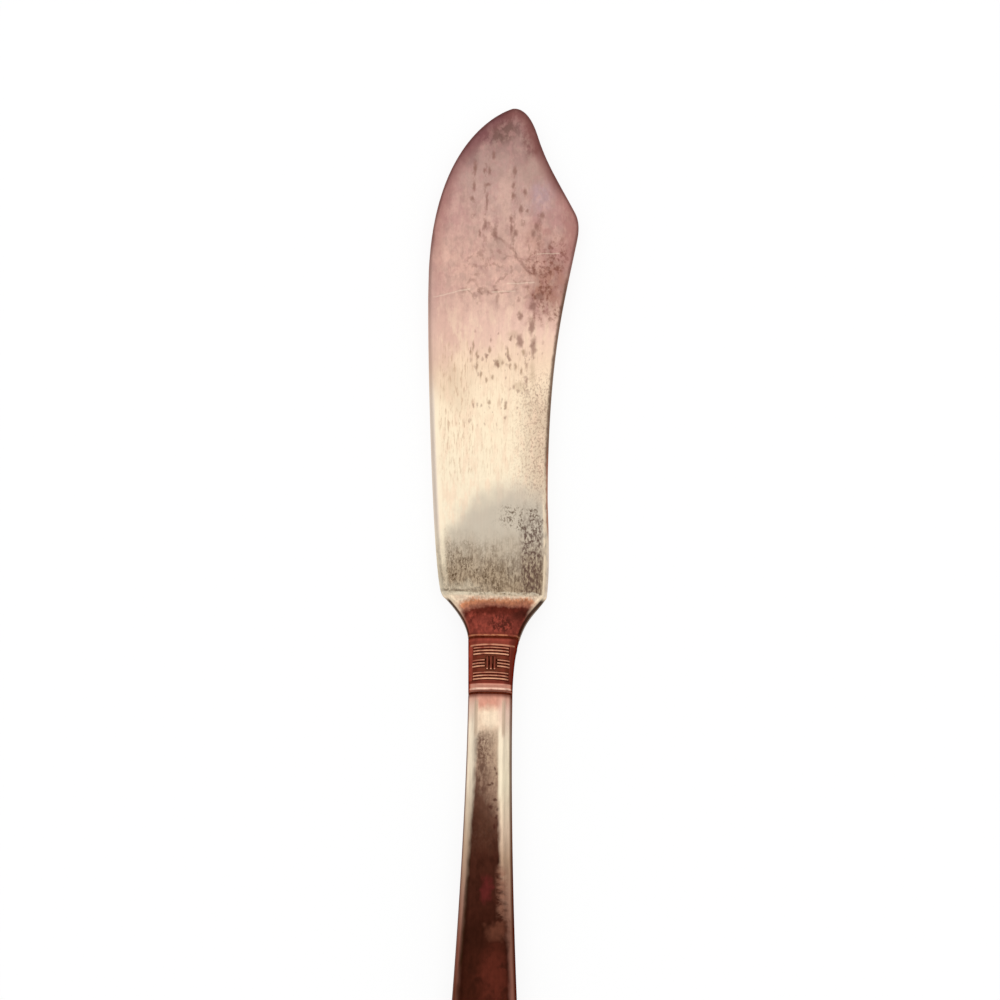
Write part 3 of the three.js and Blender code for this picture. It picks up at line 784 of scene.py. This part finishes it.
class Field:
    """A number that varies over a surface. Arithmetic on it adds nodes, and | takes the larger of two."""

    def __init__(self, nodes, socket):
        self.nodes = nodes
        self.socket = socket

    def calc(self, operation, *others):
        return self.nodes.calc(operation, self, *others)

    __add__ = functools.partialmethod(calc, "ADD")
    __sub__ = functools.partialmethod(calc, "SUBTRACT")
    __mul__ = __rmul__ = functools.partialmethod(calc, "MULTIPLY")
    __truediv__ = functools.partialmethod(calc, "DIVIDE")
    __or__ = functools.partialmethod(calc, "MAXIMUM")
    __abs__ = functools.partialmethod(calc, "ABSOLUTE")

    def remap(self, low, high, new_low=0, new_high=1, **settings):
        """The span from low to high moved to another span, and held at its ends."""
        node = self.nodes.add("ShaderNodeMapRange", self, low, high, new_low, new_high, **settings)
        return Field(self.nodes, node.outputs[0])

    def fade(self, start, end):
        """0 before start, 1 after end, smooth between; end may lie below start."""
        return self.remap(start, end, interpolation_type="SMOOTHSTEP")

    def band(self, low, high, soft):
        """1 between two limits, fading to 0 over soft outside them."""
        return self.fade(low - soft, low) * self.fade(high + soft, high)

    def blend(self, low, high):
        """low where the field is 0, high where it is 1."""
        return self * (high - low) + low

    def shift(self, noise, amount):
        """The field moved up and down by a noise, to make a boundary ragged."""
        return (noise - 0.5) * amount + self

    def ramp(self, stops):
        """A colour that runs through stops of (value, colour), in rising order."""
        low, high = stops[0][0], stops[-1][0]
        node = self.nodes.add("ShaderNodeValToRGB", self.remap(low, high))
        elements = node.color_ramp.elements
        for i, (at, shade) in enumerate(stops):
            where = (at - low) / (high - low)
            element = elements[i] if i < 2 else elements.new(where)
            element.position = where
            element.color = shade
        return node.outputs[0]


def most(masks):
    """The strongest of several masks."""
    return functools.reduce(operator.or_, masks)


class Nodes:
    """Short ways to add nodes to a tree."""

    def __init__(self, tree):
        self.tree = tree

    def feed(self, socket, value):
        """Links a field or a socket to a socket, or sets a constant there."""
        source = value.socket if isinstance(value, Field) else value
        if isinstance(source, bpy.types.NodeSocket):
            self.tree.links.new(source, socket)
        else:
            socket.default_value = source

    def add(self, kind, *values, **settings):
        """A node with its settings made and its first inputs fed."""
        node = self.tree.nodes.new(kind)
        for key, value in settings.items():
            setattr(node, key, value)
        for socket, value in zip(node.inputs, values):
            self.feed(socket, value)
        return node

    def calc(self, operation, *values):
        return Field(self, self.add("ShaderNodeMath", *values, operation=operation).outputs[0])

    def vector(self, operation, *values):
        return self.add("ShaderNodeVectorMath", *values, operation=operation).outputs[0]

    def dot(self, one, other):
        node = self.add("ShaderNodeVectorMath", one, other, operation="DOT_PRODUCT")
        return Field(self, node.outputs["Value"])

    def split(self, vector):
        """A vector's X, Y and Z."""
        return [Field(self, socket) for socket in self.add("ShaderNodeSeparateXYZ", vector).outputs]


class Coat(Nodes):
    """A material whose colour, base, is laid on in layers of stains and painted light.

    Places on it are millimetres across and along: from start_y to the tip, or to the butt if way is -1.
    """

    def __init__(self, name, start_y=0, way=1):
        self.material = bpy.data.materials.new(name)
        self.material.use_nodes = True
        super().__init__(self.material.node_tree)
        self.shader = self.tree.nodes["Principled BSDF"]
        object_place = self.add("ShaderNodeTexCoord").outputs["Object"]
        self.place = self.vector("MULTIPLY", object_place, (1 / MM, 1 / MM, 1 / MM))
        self.x, self.y, self.z = self.split(self.place)
        self.start_y, self.way = start_y, way
        self.along = way * (self.y - start_y)
        self.base = None

    def attribute(self, name):
        """A value that the mesh carries at its points."""
        return Field(self, self.add("ShaderNodeAttribute", attribute_name=name).outputs["Fac"])

    def mix(self, amount, under, over, blend="MIX"):
        node = self.add("ShaderNodeMix", data_type="RGBA", blend_type=blend)
        for index, value in ((0, amount), (6, under), (7, over)):
            self.feed(node.inputs[index], value)
        return node.outputs[2]

    def lay(self, shade, strength, *masks):
        """Lays a colour over the base where all the masks meet."""
        self.base = self.mix(math.prod(masks, start=strength), self.base, shade)

    def squeeze(self, size, seed):
        """The place in units of a size along X, Y and Z. Each seed shifts it elsewhere."""
        shift = [step * seed for step in SEED_STEP]
        return self.vector("DIVIDE", self.vector("ADD", self.place, shift), size)

    def noise(self, size, detail, seed, sharpness=0.5, output="Fac"):
        """Cloudy values about 0.5 whose features have the given size along X, Y and Z."""
        cloud = self.add("ShaderNodeTexNoise", self.squeeze(size, seed))
        for key, value in (("Scale", 1), ("Detail", detail), ("Roughness", sharpness)):
            cloud.inputs[key].default_value = value
        return Field(self, cloud.outputs[output])

    def dust(self, size, seed, low, high):
        """1 on the peaks of a fine noise, above the given levels: crowded ragged specks."""
        return self.noise(size, 3, seed, 0.65).fade(low, high)

    def mottle(self, shade, size, seed, strength):
        """Loose stains of the given size."""
        self.lay(shade, strength, self.noise(size, 3, seed, 0.6).fade(0.46, 0.66))

    def clouded(self, base, size, seed, amount):
        """A colour with lighter and darker patches of the given size."""
        shade = (self.noise(size, 3, seed, 0.6) - 0.5) * (5 * amount) + 1
        return self.mix(1, base, shade, "MULTIPLY")

    def grain(self, amount):
        """Fine polishing lines along the knife, as lighter and darker streaks. Returns their height."""
        streak = self.noise((0.16, 7, 0.6), 3, 1, 0.6) * 0.65 + self.noise((0.5, 18, 1.5), 2, 2) * 0.35
        shade = streak.remap(*GRAIN_LEVELS, 1 - amount, 1 + amount)
        self.base = self.mix(1, self.base, shade, "MULTIPLY")
        return streak

    def loosen(self, size, seed, amount):
        """Makes the ovals and strokes drawn from here on ragged, by up to half the amount."""
        swing = self.vector("ADD", self.noise(size, 2, seed, output="Color"), (-0.5, -0.5, -0.5))
        self.loose = self.vector("MULTIPLY_ADD", swing, (amount, amount, 0), self.place)
        self.loose_x, self.loose_y, _ = self.split(self.loose)

    def cells(self, size, seed, feature):
        """A pattern of uneven cells of the given size."""
        swirl = self.noise([0.6 * length for length in size], 2, seed, output="Color")
        place = self.vector("MULTIPLY_ADD", swirl, (0.7, 0.7, 0.7), self.squeeze(size, seed))
        pattern = self.add("ShaderNodeTexVoronoi", place, feature=feature)
        pattern.inputs["Scale"].default_value = 1
        return pattern.outputs

    def cracks(self, size, seed, width):
        """1 along the borders of uneven cells, fading out to a width that is a share of their size."""
        border = self.cells(size, seed, "DISTANCE_TO_EDGE")["Distance"]
        return Field(self, border).fade(width, 0.3 * width)

    def spots(self, size, seed, share, soft):
        """1 on scattered uneven spots up to the given size. share of the places hold one."""
        cells = self.cells(size, seed, "F1")
        chance = Field(self, self.add("ShaderNodeSeparateColor", cells["Color"]).outputs[0])
        radius = chance.remap(1 - share, 1, 0.001, 0.6)
        return (Field(self, cells["Distance"]) / radius).fade(1, 1 - soft)

    def y_at(self, along):
        return self.start_y + self.way * along

    def oval(self, x, at, half_x, half_y, soft=0.5, lean=0):
        """1 inside an oval spot, fading out over a share of its size. lean is X moved for each step of Y."""
        x = self.loose_x - x
        y = self.loose_y - self.y_at(at)
        if lean:
            x = x - y * lean
        return self.length(x / half_x, y / half_y).fade(1 + soft, 1 - soft)

    def length(self, one, other):
        return self.calc("SQRT", one * one + other * other)

    def ovals(self, rows, soft):
        """1 inside any of the ovals from rows of place across and along, half-width and half-height."""
        return most(self.oval(*row, soft) for row in rows)

    def patches(self, rows):
        """Soft patches from rows of an oval, its colour and its strength."""
        for *oval, shade, strength in rows:
            self.lay(shade, strength, self.oval(*oval))

    def stroke(self, start, end, width):
        """1 along a straight stroke between two points, fading out to its width."""
        run = Vector((end[0] - start[0], self.way * (end[1] - start[1]), 0))
        way = run.normalized()
        rest = self.vector("SUBTRACT", self.loose, (start[0], self.y_at(start[1]), 0))
        along, beside = (self.dot(rest, axis) for axis in (way, (-way.y, way.x, 0)))
        past = abs(along - run.length / 2) - run.length / 2 | 0
        return self.length(past, beside).fade(width, 0.2 * width)

    def strokes(self, lines, width):
        """1 along any of the lines of points across and along."""
        return most(self.stroke(*ends, width) for line in lines for ends in zip(line, line[1:]))

    def finish(self, roughness, height, depth, glance=GLANCE, metallic=1):
        """Sets the colour and roughness, the tint where light only grazes it, and bumps from a height."""
        bump = self.add("ShaderNodeBump")
        inputs = self.shader.inputs
        for socket, value in (
            (bump.inputs["Strength"], 1),
            (bump.inputs["Distance"], depth * MM),
            (bump.inputs["Height"], height),
            (inputs["Base Color"], self.base),
            (inputs["Metallic"], metallic),
            (inputs["Roughness"], roughness),
            (inputs["Specular Tint"], glance),
            (inputs["Normal"], bump.outputs[0]),
        ):
            self.feed(socket, value)
        return self.material


def blade_marks(coat, up):
    """Spots, scratches, water marks and clusters of specks on the blade's face."""
    coat.loosen((0.7, 1.6, 1), 11, 1)
    broken = coat.dust((0.9, 1.5, 1), 12, 0.48, 0.6)
    coat.lay(SPECK_BROWN, 0.4, broken, most(
        abs(coat.loose_x - x).fade(0.5, 0.15) * up.band(low, high, 1) for x, low, high in SPECK_COLUMNS
    ))
    coat.loosen((0.35, 0.6, 0.5), 35, 0.45)
    speck_shade = coat.mix(up.fade(38, 48), PALE_SPECK, SPECK_BROWN)
    coat.lay(speck_shade, 0.7, coat.ovals(SPECKS, 0.7))
    torn = coat.dust((1, 1.2, 1), 9, 0.42, 0.6)
    around = up.band(46, 53, 2.5) * coat.x.band(-5, 4, 1.5)
    coat.lay(SPECK_BROWN, 0.42, coat.cracks((2.6, 3.2, 2.4), 13, 0.11), torn, around)
    coat.mottle(TAUPE, (1.3, 1.7, 1.4), 28, 0.25 * around)
    clustered = coat.noise((2.2, 3.2, 2), 2, 15).fade(0.36, 0.56)
    cluster = clustered * up.band(44, 54, 3.5) * coat.x.band(5, 10, 2)
    coat.lay(RUSSET, 0.2, cluster)
    coat.lay(RUST_BROWN, 0.75, coat.dust((0.6, 0.8, 1), 14, 0.42, 0.66), cluster)
    lines = coat.dust((0.26, 1.8, 2), 16, 0.5, 0.7) * up.band(20, 37, 5)
    coat.lay(TAN, 0.7, lines, coat.x.band(-8, -3.6, 1) | 0.5 * coat.x.band(-2, 6, 2))
    dots = coat.spots((0.6, 1.1, 1), 17, 0.6, 0.8)
    coat.lay(SPECK_BROWN, 0.5, dots, up.band(27, 40, 3), coat.x.band(-3.4, 6, 2))
    freckles = coat.dust((0.24, 0.4, 1), 18, 0.48, 0.62)
    coat.lay(SPECK_BROWN, 0.5, freckles, up.band(14, 31, 6), coat.x.fade(0.5, 7))
    coat.loosen((0.8, 0.8, 0.8), 19, 0.9)
    coat.lay(SPECK_BROWN, 0.7, coat.ovals(DARK_SPOTS, 0.6))
    coat.lay(OLIVE_GREY, 0.3, coat.ovals(TAN_SPOTS, 0.6))
    coat.lay(SPECK_BROWN, 0.5, coat.strokes(WATER_MARKS, 0.4), torn.blend(0.4, 1))
    coat.loosen((3, 3, 3), 20, 0.8)
    coat.lay(PALE_CREAM, 0.25, coat.strokes(SCRATCHES, 0.15))


def blade_foot(coat, up):
    """The grey arch of painted reflection and the dense olive speckle over the blade's foot, and the painted
    shadow line and highlight above the shoulder.
    """
    coat.loosen((1.2, 2.4, 1.6), 21, 3)
    # Painted reflection: the grey arch over the foot
    coat.lay(SILVER_GREY, 0.9, coat.oval(3, 0, 11.6, 16.4, 0.16))
    ragged = up.shift(coat.noise((1.4, 2.5, 1.2), 3, 22), 4)
    low = ragged.fade(11, 2)
    coat.lay(OLIVE_GREY, 0.75, low)
    # A smaller grey patch of the same painted reflection
    coat.lay(SILVER_GREY, 0.35, coat.oval(3, 4.4, 1.4, 2, 0.6))
    clumps = coat.dust((0.9, 1.3, 1), 25, 0.42, 0.58)
    fine = coat.dust((0.24, 0.4, 0.6), 23, 0.46, 0.58)
    across_foot = ragged.band(10.6, 12.6, 1.6) * coat.x.fade(-1, 3.5)
    coat.lay(OLIVE_BROWN, 0.85, fine, clumps, low * coat.x.fade(6, -3) | across_foot)
    coat.lay(OLIVE_BROWN, 0.6, coat.dust((0.24, 1.2, 0.6), 24, 0.48, 0.66), low)
    coat.lay(OLIVE_BROWN, 0.49, coat.dust((0.5, 0.9, 1), 26, 0.44, 0.6), low)
    blots = coat.dust((0.3, 0.6, 1), 30, 0.38, 0.62)
    crowded = coat.noise((1, 1.8, 1), 2, 36).fade(0.15, 0.5)
    coat.lay(PLUM_BROWN, 0.9, blots, crowded, coat.x.band(4.8, 6.6, 1.4), ragged.fade(15, 9))
    coat.lay(SAND, 0.4, ragged.fade(2.6, 1), coat.x.fade(1, -5))
    # Painted shadow line just above the crease, and a painted highlight along the crease itself
    line = up.shift(coat.noise((1.6, 1, 1), 3, 27), 0.7)
    crease = line.band(0.5, 0.74, 0.3) * coat.x.fade(-0.5, -3.5)
    coat.lay(OLIVE_BROWN, 0.6, crease, coat.dust((0.7, 0.5, 1), 34, 0.32, 0.54))
    coat.lay(SAND, 0.45, line.band(-0.1, 0.35, 0.2), coat.dust((0.6, 0.3, 1), 29, 0.34, 0.56))


def blade_edges(coat, up, edge):
    """Darker and paler lines along the blade's bevels: tarnish with painted shade and painted reflection at
    the rims.
    """
    left, right = coat.x.fade(1.6, 0.2), coat.x.fade(-0.5, 0.5)
    ragged = edge.shift(coat.noise((1.2, 3.5, 1.2), 2, 31), 0.8)
    line = edge.shift(coat.noise((0.5, 0.9, 0.5), 2, 32), 0.4)
    uneven = coat.noise((0.5, 1.6, 1), 3, 37).fade(0.2, 0.6)
    # Darker rims towards the tip: tarnish, and painted shade at the silhouette
    coat.lay(DUSKY_ROSE, 0.6, ragged.fade(2.6, 0.4), up.fade(42, 58))
    coat.lay(PLUM, 0.6, ragged.fade(2.3, 0.2), up.fade(58, 74), left)
    coat.lay(WINE, 0.7, ragged.fade(2, 0.2), up.band(65, 75, 4), right)
    coat.lay(WINE, 0.55, ragged.fade(0.6, 0.15), up.fade(40, 54))
    coat.lay(MAUVE_ROSE, 0.55, ragged.fade(1.8, 0.2), up.band(36, 48, 10), left)
    # Painted reflection on the left bevel: a cream highlight, a lilac line, and sand lower down
    coat.lay(PALE_CREAM, 0.6, edge.band(0.8, 1.1, 0.5), up.band(6, 28, 6), left)
    coat.lay(PALE_LILAC, 0.8, edge.fade(0.95, 0.5), up.band(12, 28, 7), left)
    coat.lay(SAND, 0.5, edge.fade(0.7, 0.25), up.fade(12, 5), left)
    # Painted shade: a dark line along the right edge
    coat.lay(LINE_BROWN, 0.85, line.fade(0.65, 0.2), up.band(22, 46, 5), right)
    # Painted reflection on the lower right bevel and wall: pale, copper and lilac
    coat.lay(PALE_PEACH, 0.85, edge.band(0.15, 0.6, 0.35), up.fade(20, 15), right, uneven)
    coat.lay(COPPER, 0.8, line.fade(0.4, 0.2), up.band(11, 20, 4), right)
    coat.lay(PALE_LILAC, 0.6, line.fade(0.45, 0.2), up.fade(11, 6), right)


def shoulder_tarnish(coat, up, edge):
    """Red tarnish on the shoulder: dark blotches and a painted dark reflection under the blade, painted
    highlights on its edges, painted shade on its sides.
    """
    blade = coat.base
    right = coat.x.fade(-1, 1)
    beside = right.blend(edge.fade(3.4, 0.4), 0.4 * edge.fade(2.4, 0.4))
    ragged = up.shift(coat.noise((2.2, 1, 1), 2, 41), 0.9)
    ragged = ragged.shift(coat.noise((0.45, 0.8, 1), 4, 47, 0.7), 1.1)
    # Tarnish ramp with a band of painted dark reflection and a painted highlight under the blade
    coat.base = (beside * 0.9 + ragged).ramp(SHOULDER_COLOURS)
    coat.mottle(BRICK, (1, 1.2, 1), 42, 0.9 * up.fade(-2.4, -3.4))
    coat.base = coat.clouded(coat.base, (0.4, 0.6, 1), 45, 0.3)
    # Painted glints along the highlight under the blade
    coat.lay(PALE_PEACH, 0.4, coat.dust((0.26, 0.32, 1), 48, 0.48, 0.62), up.band(-0.8, 0.2, 0.4))
    coat.loosen((0.8, 0.8, 0.8), 43, 0.8)
    blotches = coat.dust((0.35, 0.6, 1), 44, 0.46, 0.56) * coat.oval(1.4, -4.6, 1.9, 1.5, 0.4)
    coat.lay(DARK_MAROON, 0.8, blotches | coat.oval(4, -3.2, 1.2, 1, 0.6, 0.9))
    # Painted highlight along the bevels, widening towards the blade (the mask named worn)
    frayed = edge.shift(coat.noise((0.5, 0.7, 1), 3, 46), 0.7)
    worn = (frayed - up.remap(-3.8, 0, 0, 0.9)).fade(0.6, -0.3)
    coat.lay(coat.clouded(up.ramp(SHOULDER_RIM), (0.5, 0.6, 1), 49, 0.12), 0.9, worn)
    # Painted shade on the side walls, wider on the right
    wall = (edge - right.blend(0.2, 0.38)).fade(0.12, -0.08)
    coat.lay(NEAR_BLACK, 0.95, wall, up.fade(-0.2, -1))
    coat.lay(MAROON, 0.4, coat.y.band(shoulder_y + 0.3, shoulder_y + 0.42, 0.12))
    # Painted highlight along the rounded lip at the shoulder's end
    lip_highlight = coat.y.band(shoulder_y + 0.04, shoulder_y + 0.2, 0.1)
    coat.lay(ORANGE, 0.7, lip_highlight, coat.dust((1, 0.5, 1), 50, 0.34, 0.6))
    coat.base = coat.mix(up.fade(0.1, -0.4), blade, coat.base)


def blade_material():
    """Silver plate gone mauve at the tip, rose and cream lower down, red at the shoulder, partly by painted
    reflection.
    """
    coat = Coat("blade_plate_tarnish_and_painted_light", base_y)
    up, edge = coat.along, coat.attribute("edge")
    upper = up.fade(38, 50)
    coat.base = up.shift(coat.noise((5, 8, 5), 3, 3), 7).ramp(BLADE_COLOURS)
    coat.loosen((3, 3.5, 3), 4, 4)
    coat.patches(BLADE_PATCHES)
    coat.mottle(TAUPE, (1.1, 1.8, 1.6), 5, 0.5 * upper)
    coat.mottle(DUSKY_PINK, (0.8, 1.2, 1.6), 6, 0.4 * upper)
    coat.mottle(ROSE, (0.8, 1.6, 1.6), 10, 0.3 * up.band(44, 62, 5))
    coat.lay(BISCUIT, 0.75, coat.x.fade(2.5, 7), up.band(16, 28, 6))
    coat.mottle(PEACH, (0.9, 3, 1.4), 7, upper.blend(0.6, 0))
    coat.base = coat.clouded(coat.base, (0.4, 0.6, 1), 8, upper.blend(0.03, 0.06))
    coat.base = coat.clouded(coat.base, (1.8, 2.6, 2), 33, 0.08 * upper)
    blade_marks(coat, up)
    blade_foot(coat, up)
    blade_edges(coat, up, edge)
    shoulder_tarnish(coat, up, edge)
    streak = coat.grain(0.05)
    return coat.finish(streak.remap(*GRAIN_LEVELS, *BLADE_ROUGHNESS), streak, 0.004)


def collar_material():
    """Red-brown tarnish, with painted salmon highlights on the reeds and the bead, and painted shade under
    the bead's crest and along the right side.
    """
    coat = Coat("collar_plate_tarnish_and_painted_light", collar_top_y, -1)
    down, shine, edge = coat.along, coat.attribute("shine"), coat.attribute("edge")
    ends = edge.fade(*SHINE_EDGE)
    coat.base = coat.clouded(BRICK, (0.6, 0.8, 1.2), 51, 0.2)
    # Painted shade along the collar's right side
    coat.lay(MAROON, 0.85, edge.fade(1.3, 0.4), coat.x.fade(-1, 2))
    coat.lay(MAROON, 0.6, down.fade(0.25, 0.08))
    coat.lay(MAROON, 0.35, down.band(0.6, 0.8, 0.25))
    coat.lay(GROUND_BROWN, 0.75, shine.fade(-0.1, -0.7))
    coat.lay(MAROON, 0.75, down.band(BEAD_START - 0.43, BEAD_START - 0.23, 0.14))
    coat.loosen((0.8, 0.8, 0.8), 53, 0.6)
    coat.lay(OLIVE_BROWN, 0.4, shine.fade(1, 0), coat.oval(0, PANEL_TOP + PANEL_LENGTH / 2, 1.6, 1.3))
    # Painted highlights on the reeds' crests
    coat.lay(PINK_COPPER, 0.95, shine.fade(0.25, 1), coat.noise((1.2, 0.4, 1), 3, 52).fade(0.2, 0.62))
    coat.lay(SALMON, 0.9, down.band(BEAD_START, BEAD_CREST, 0.1), ends)
    # Painted highlight along the bead's crest
    crest = down.band(BEAD_CREST - 0.1, BEAD_CREST + 0.08, 0.12)
    coat.lay(BLUSH, 0.9, crest, ends, coat.noise((1, 1, 1), 3, 54).fade(0.2, 0.6))
    # Painted shade on the bead's lower slope
    coat.lay(RUSSET, 0.8, down.fade(BEAD_CREST + 0.1, BEAD_CREST + 0.28))
    return coat.finish(DARK_ROUGHNESS, coat.grain(0.08), 0.003, DARK_GLANCE)


def handle_core(coat, down):
    """The face between the handle's pale sides: tarnish, a painted highlight below the mouth and painted
    dark reflection down the middle.
    """
    # Tarnish ramp with a painted highlight near the mouth and painted dark reflection further down
    ragged = down.shift(coat.noise((0.8, 1.6, 1), 3, 61), down.remap(4, 14, 1.4, 4))
    lean = -1.5 * down.band(11, 18, 5)
    coat.base = (coat.x * lean + ragged).ramp(HANDLE_CORE)
    coat.loosen((1, 1.2, 1), 60, 2)
    coat.patches(HANDLE_PATCHES)
    smudge = coat.dust((0.8, 1.8, 1), 62, 0.36, 0.64)
    coat.lay(DARK_UMBER, 0.8, smudge, down.band(7, 15, 2), coat.x.fade(1, -0.9))
    crumbs = coat.dust((0.32, 0.42, 1), 63, 0.44, 0.62)
    dusted = down.band(6.6, 9.5, 1.6) * coat.x.fade(1.8, -1)
    coat.lay(DARK_UMBER, 0.75, crumbs, dusted | 0.4 * down.band(10, 21, 2))
    coat.loosen((0.5, 0.5, 0.5), 64, 0.5)
    coat.lay(DARK_MAROON, 0.7, coat.ovals(HANDLE_DROPS, 0.6))
    blackened = coat.noise((1.2, 2, 1), 3, 66).fade(0.46, 0.66)
    coat.lay(NEAR_BLACK, 0.45, blackened, down.fade(18, 24))
    coat.base = coat.clouded(coat.base, (0.6, 1, 1.3), 67, 0.14)


def handle_material():
    """Plate bright below the collar with a painted highlight, dark maroon towards the end by tarnish and
    painted reflection, with pale sides of worn plate and painted reflection.
    """
    coat = Coat("handle_plate_tarnish_and_painted_light", mouth_y, -1)
    down, edge = coat.along, coat.attribute("edge")
    spread = down.remap(44, 80, 0.3, 9)
    right = coat.x.fade(-1 * spread, spread)
    # Pale sides: worn plate with painted reflection
    strips = coat.mix(right, down.ramp(LEFT_STRIP), down.ramp(RIGHT_STRIP))
    strips = coat.clouded(strips, (0.4, 3, 0.8), 71, 0.1)
    width = right.blend(down.remap(10, 36, 1.3, 0.75), down.remap(26, 33, 1.85, 1))
    notches = 1.8 * right * down.band(26, 35, 2)
    ragged = edge.shift(coat.noise((1, 2.2, 1), 3, 72), 0.6)
    ragged = ragged.shift(coat.noise((2.4, 1, 1), 3, 73, 0.6), notches)
    soft = notches * 0.16 + down.remap(3, 12, 0.7, 0.36)
    handle_core(coat, down)
    coat.base = coat.mix(((ragged - width) / soft).fade(-1, 1), strips, coat.base)
    smears = coat.dust((1.4, 0.8, 1), 68, 0.32, 0.6)
    coat.lay(SMEAR_COPPER, 0.6, smears, down.band(26.5, 31.5, 2), edge.band(1.2, 2, 0.8), right)
    # Painted shade where the roll begins, below the mouth
    coat.lay(BISCUIT, 0.75, edge.band(1.1, 1.4, 0.22), down.band(1.6, 5.6, 1.2))
    from_strip = edge - width
    coat.lay(PALE_CREAM, 0.6, from_strip.band(-0.25, 0, 0.2), right, down.band(6, 14, 2))
    # Painted shade where the left roll begins, further down
    rim = from_strip.band(-0.05, 0.2, 0.25) * down.band(25, 38, 3)
    coat.lay(DARK_OLIVE, 0.35, rim, right.fade(0.6, 0.4))
    coat.lay(MAROON, 0.8, down.fade(0.75, 0.05))
    # Painted shade: dark outlines along the silhouette, grey on the left and brown on the right, and mottled
    # dark side walls
    side = abs(coat.z - seam_z).fade(0.5 * SIDE_LAND, 0.35 * SIDE_LAND)
    outer = (edge / right.blend(0.26, 0.58)).fade(1, 0.4)
    lines = coat.mix(right, GREY_EDGE_SHADE, DARK_EDGE_SHADE)
    coat.lay(lines, 0.8, outer, side.blend(1, 0.3), down.fade(56, 44))
    coat.lay(DARK_COPPER, 0.55, side, coat.noise((1.2, 5, 1.2), 3, 74).fade(0.3, 0.65))
    return coat.finish(DARK_ROUGHNESS, coat.grain(0.08), 0.004, DARK_GLANCE)


def solder_material():
    """Dull brown solder and old polish packed into the joints."""
    coat = Coat("joint_solder_dull")
    lumps = coat.noise((0.4, 0.4, 0.4), 3, 4)
    coat.base = lumps.ramp(SOLDER_COLOURS)
    return coat.finish(0.55, lumps, 0.02)


def cement_material():
    """Grey-brown filler inside the handle."""
    coat = Coat("handle_cement")
    lumps = coat.noise((0.8, 0.8, 0.8), 4, 5, 0.65)
    coat.base = lumps.ramp(CEMENT_COLOURS)
    return coat.finish(0.9, lumps, 0.06, metallic=0)


def make_camera():
    """A camera at the photograph's angle."""
    aim = Vector((AIM_X, tip_y - AIM_FROM_TIP, seam_z))
    flat = math.cos(CAMERA_ELEVATION)
    away = Vector((
        flat * math.sin(CAMERA_AZIMUTH),
        -flat * math.cos(CAMERA_AZIMUTH),
        math.sin(CAMERA_ELEVATION),
    ))
    data = bpy.data.cameras.new("camera")
    data.lens = CAMERA_LENS
    data.sensor_width = CAMERA_SENSOR
    camera = place("camera", data)
    camera.location = (aim + CAMERA_DISTANCE * away) * MM
    camera.rotation_euler = (-away).to_track_quat("-Z", "Y").to_euler()
    bpy.context.scene.camera = camera


def make_floor():
    """A plain white floor that keeps the knife's shadow."""
    half = FLOOR_SIZE / 2
    mesh = bpy.data.meshes.new("floor")
    rim = [(-half, -half, 0), (half, -half, 0), (half, half, 0), (-half, half, 0)]
    mesh.from_pydata(rim, [], [(0, 1, 2, 3)])
    material = bpy.data.materials.new("floor_white")
    material.use_nodes = True
    nodes = Nodes(material.node_tree)
    path = nodes.add("ShaderNodeLightPath").outputs
    seen = most(Field(nodes, path[f"Is {kind} Ray"]) for kind in ("Camera", "Glossy", "Transmission"))
    for key, value in (
        ("Base Color", (FLOOR_GREY, FLOOR_GREY, FLOOR_GREY, 1)),
        ("Roughness", 1),
        ("Specular IOR Level", 0),
        ("Emission Color", (1, 1, 1, 1)),
        ("Emission Strength", seen * FLOOR_GLOW),
    ):
        nodes.feed(material.node_tree.nodes["Principled BSDF"].inputs[key], value)
    mesh.materials.append(material)
    floor = place("floor", mesh)


def make_light():
    """Soft studio light: a pale dome and a broad lamp overhead."""
    world = bpy.data.worlds.new("studio")
    world.use_nodes = True
    nodes = Nodes(world.node_tree)
    _, _, height = nodes.split(nodes.add("ShaderNodeTexCoord").outputs["Generated"])
    sky = height.ramp([(at, (level, level, level, 1)) for at, level in SKY])
    nodes.feed(world.node_tree.nodes["Background"].inputs["Color"], sky)
    bpy.context.scene.world = world
    data = bpy.data.lights.new("overhead", "AREA")
    data.size = LAMP_SIZE
    data.energy = LAMP_POWER
    lamp = place("overhead", data)
    lamp.location = (0, LAMP_AHEAD, LAMP_HEIGHT)


make_camera()
make_floor()
make_light()
make_blade(blade_material())
make_collar(collar_material())
handle_finish = handle_material()
make_shell("front_shell_plated", "handle_front_shell", mouth_depth, end_depth, 1, handle_finish)
make_shell("back_shell_plated", "handle_back_shell", back_depth, back_depth, -1, handle_finish)
solder = solder_material()
joint_y = np.linspace(collar_top_y, shoulder_y, LIP_STEPS)
make_joint(
    "shoulder_joint", "shoulder_solder", collar_top_y, shoulder_y,
    np.maximum(collar_left(joint_y), blade_left(joint_y)),
    np.minimum(collar_right(joint_y), blade_right(joint_y)), None, solder,
)
make_joint(
    "mouth_joint", "mouth_solder", mouth_y, collar_bottom_y,
    handle_left(mouth_y), handle_right(mouth_y), WALL, solder,
)
for node, finish in (("seam_solder", solder), ("handle_filler", cement_material())):
    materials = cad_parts[node].data.materials
    materials.clear()
    materials.append(finish)

bpy.context.scene.view_settings.view_transform = "Standard"
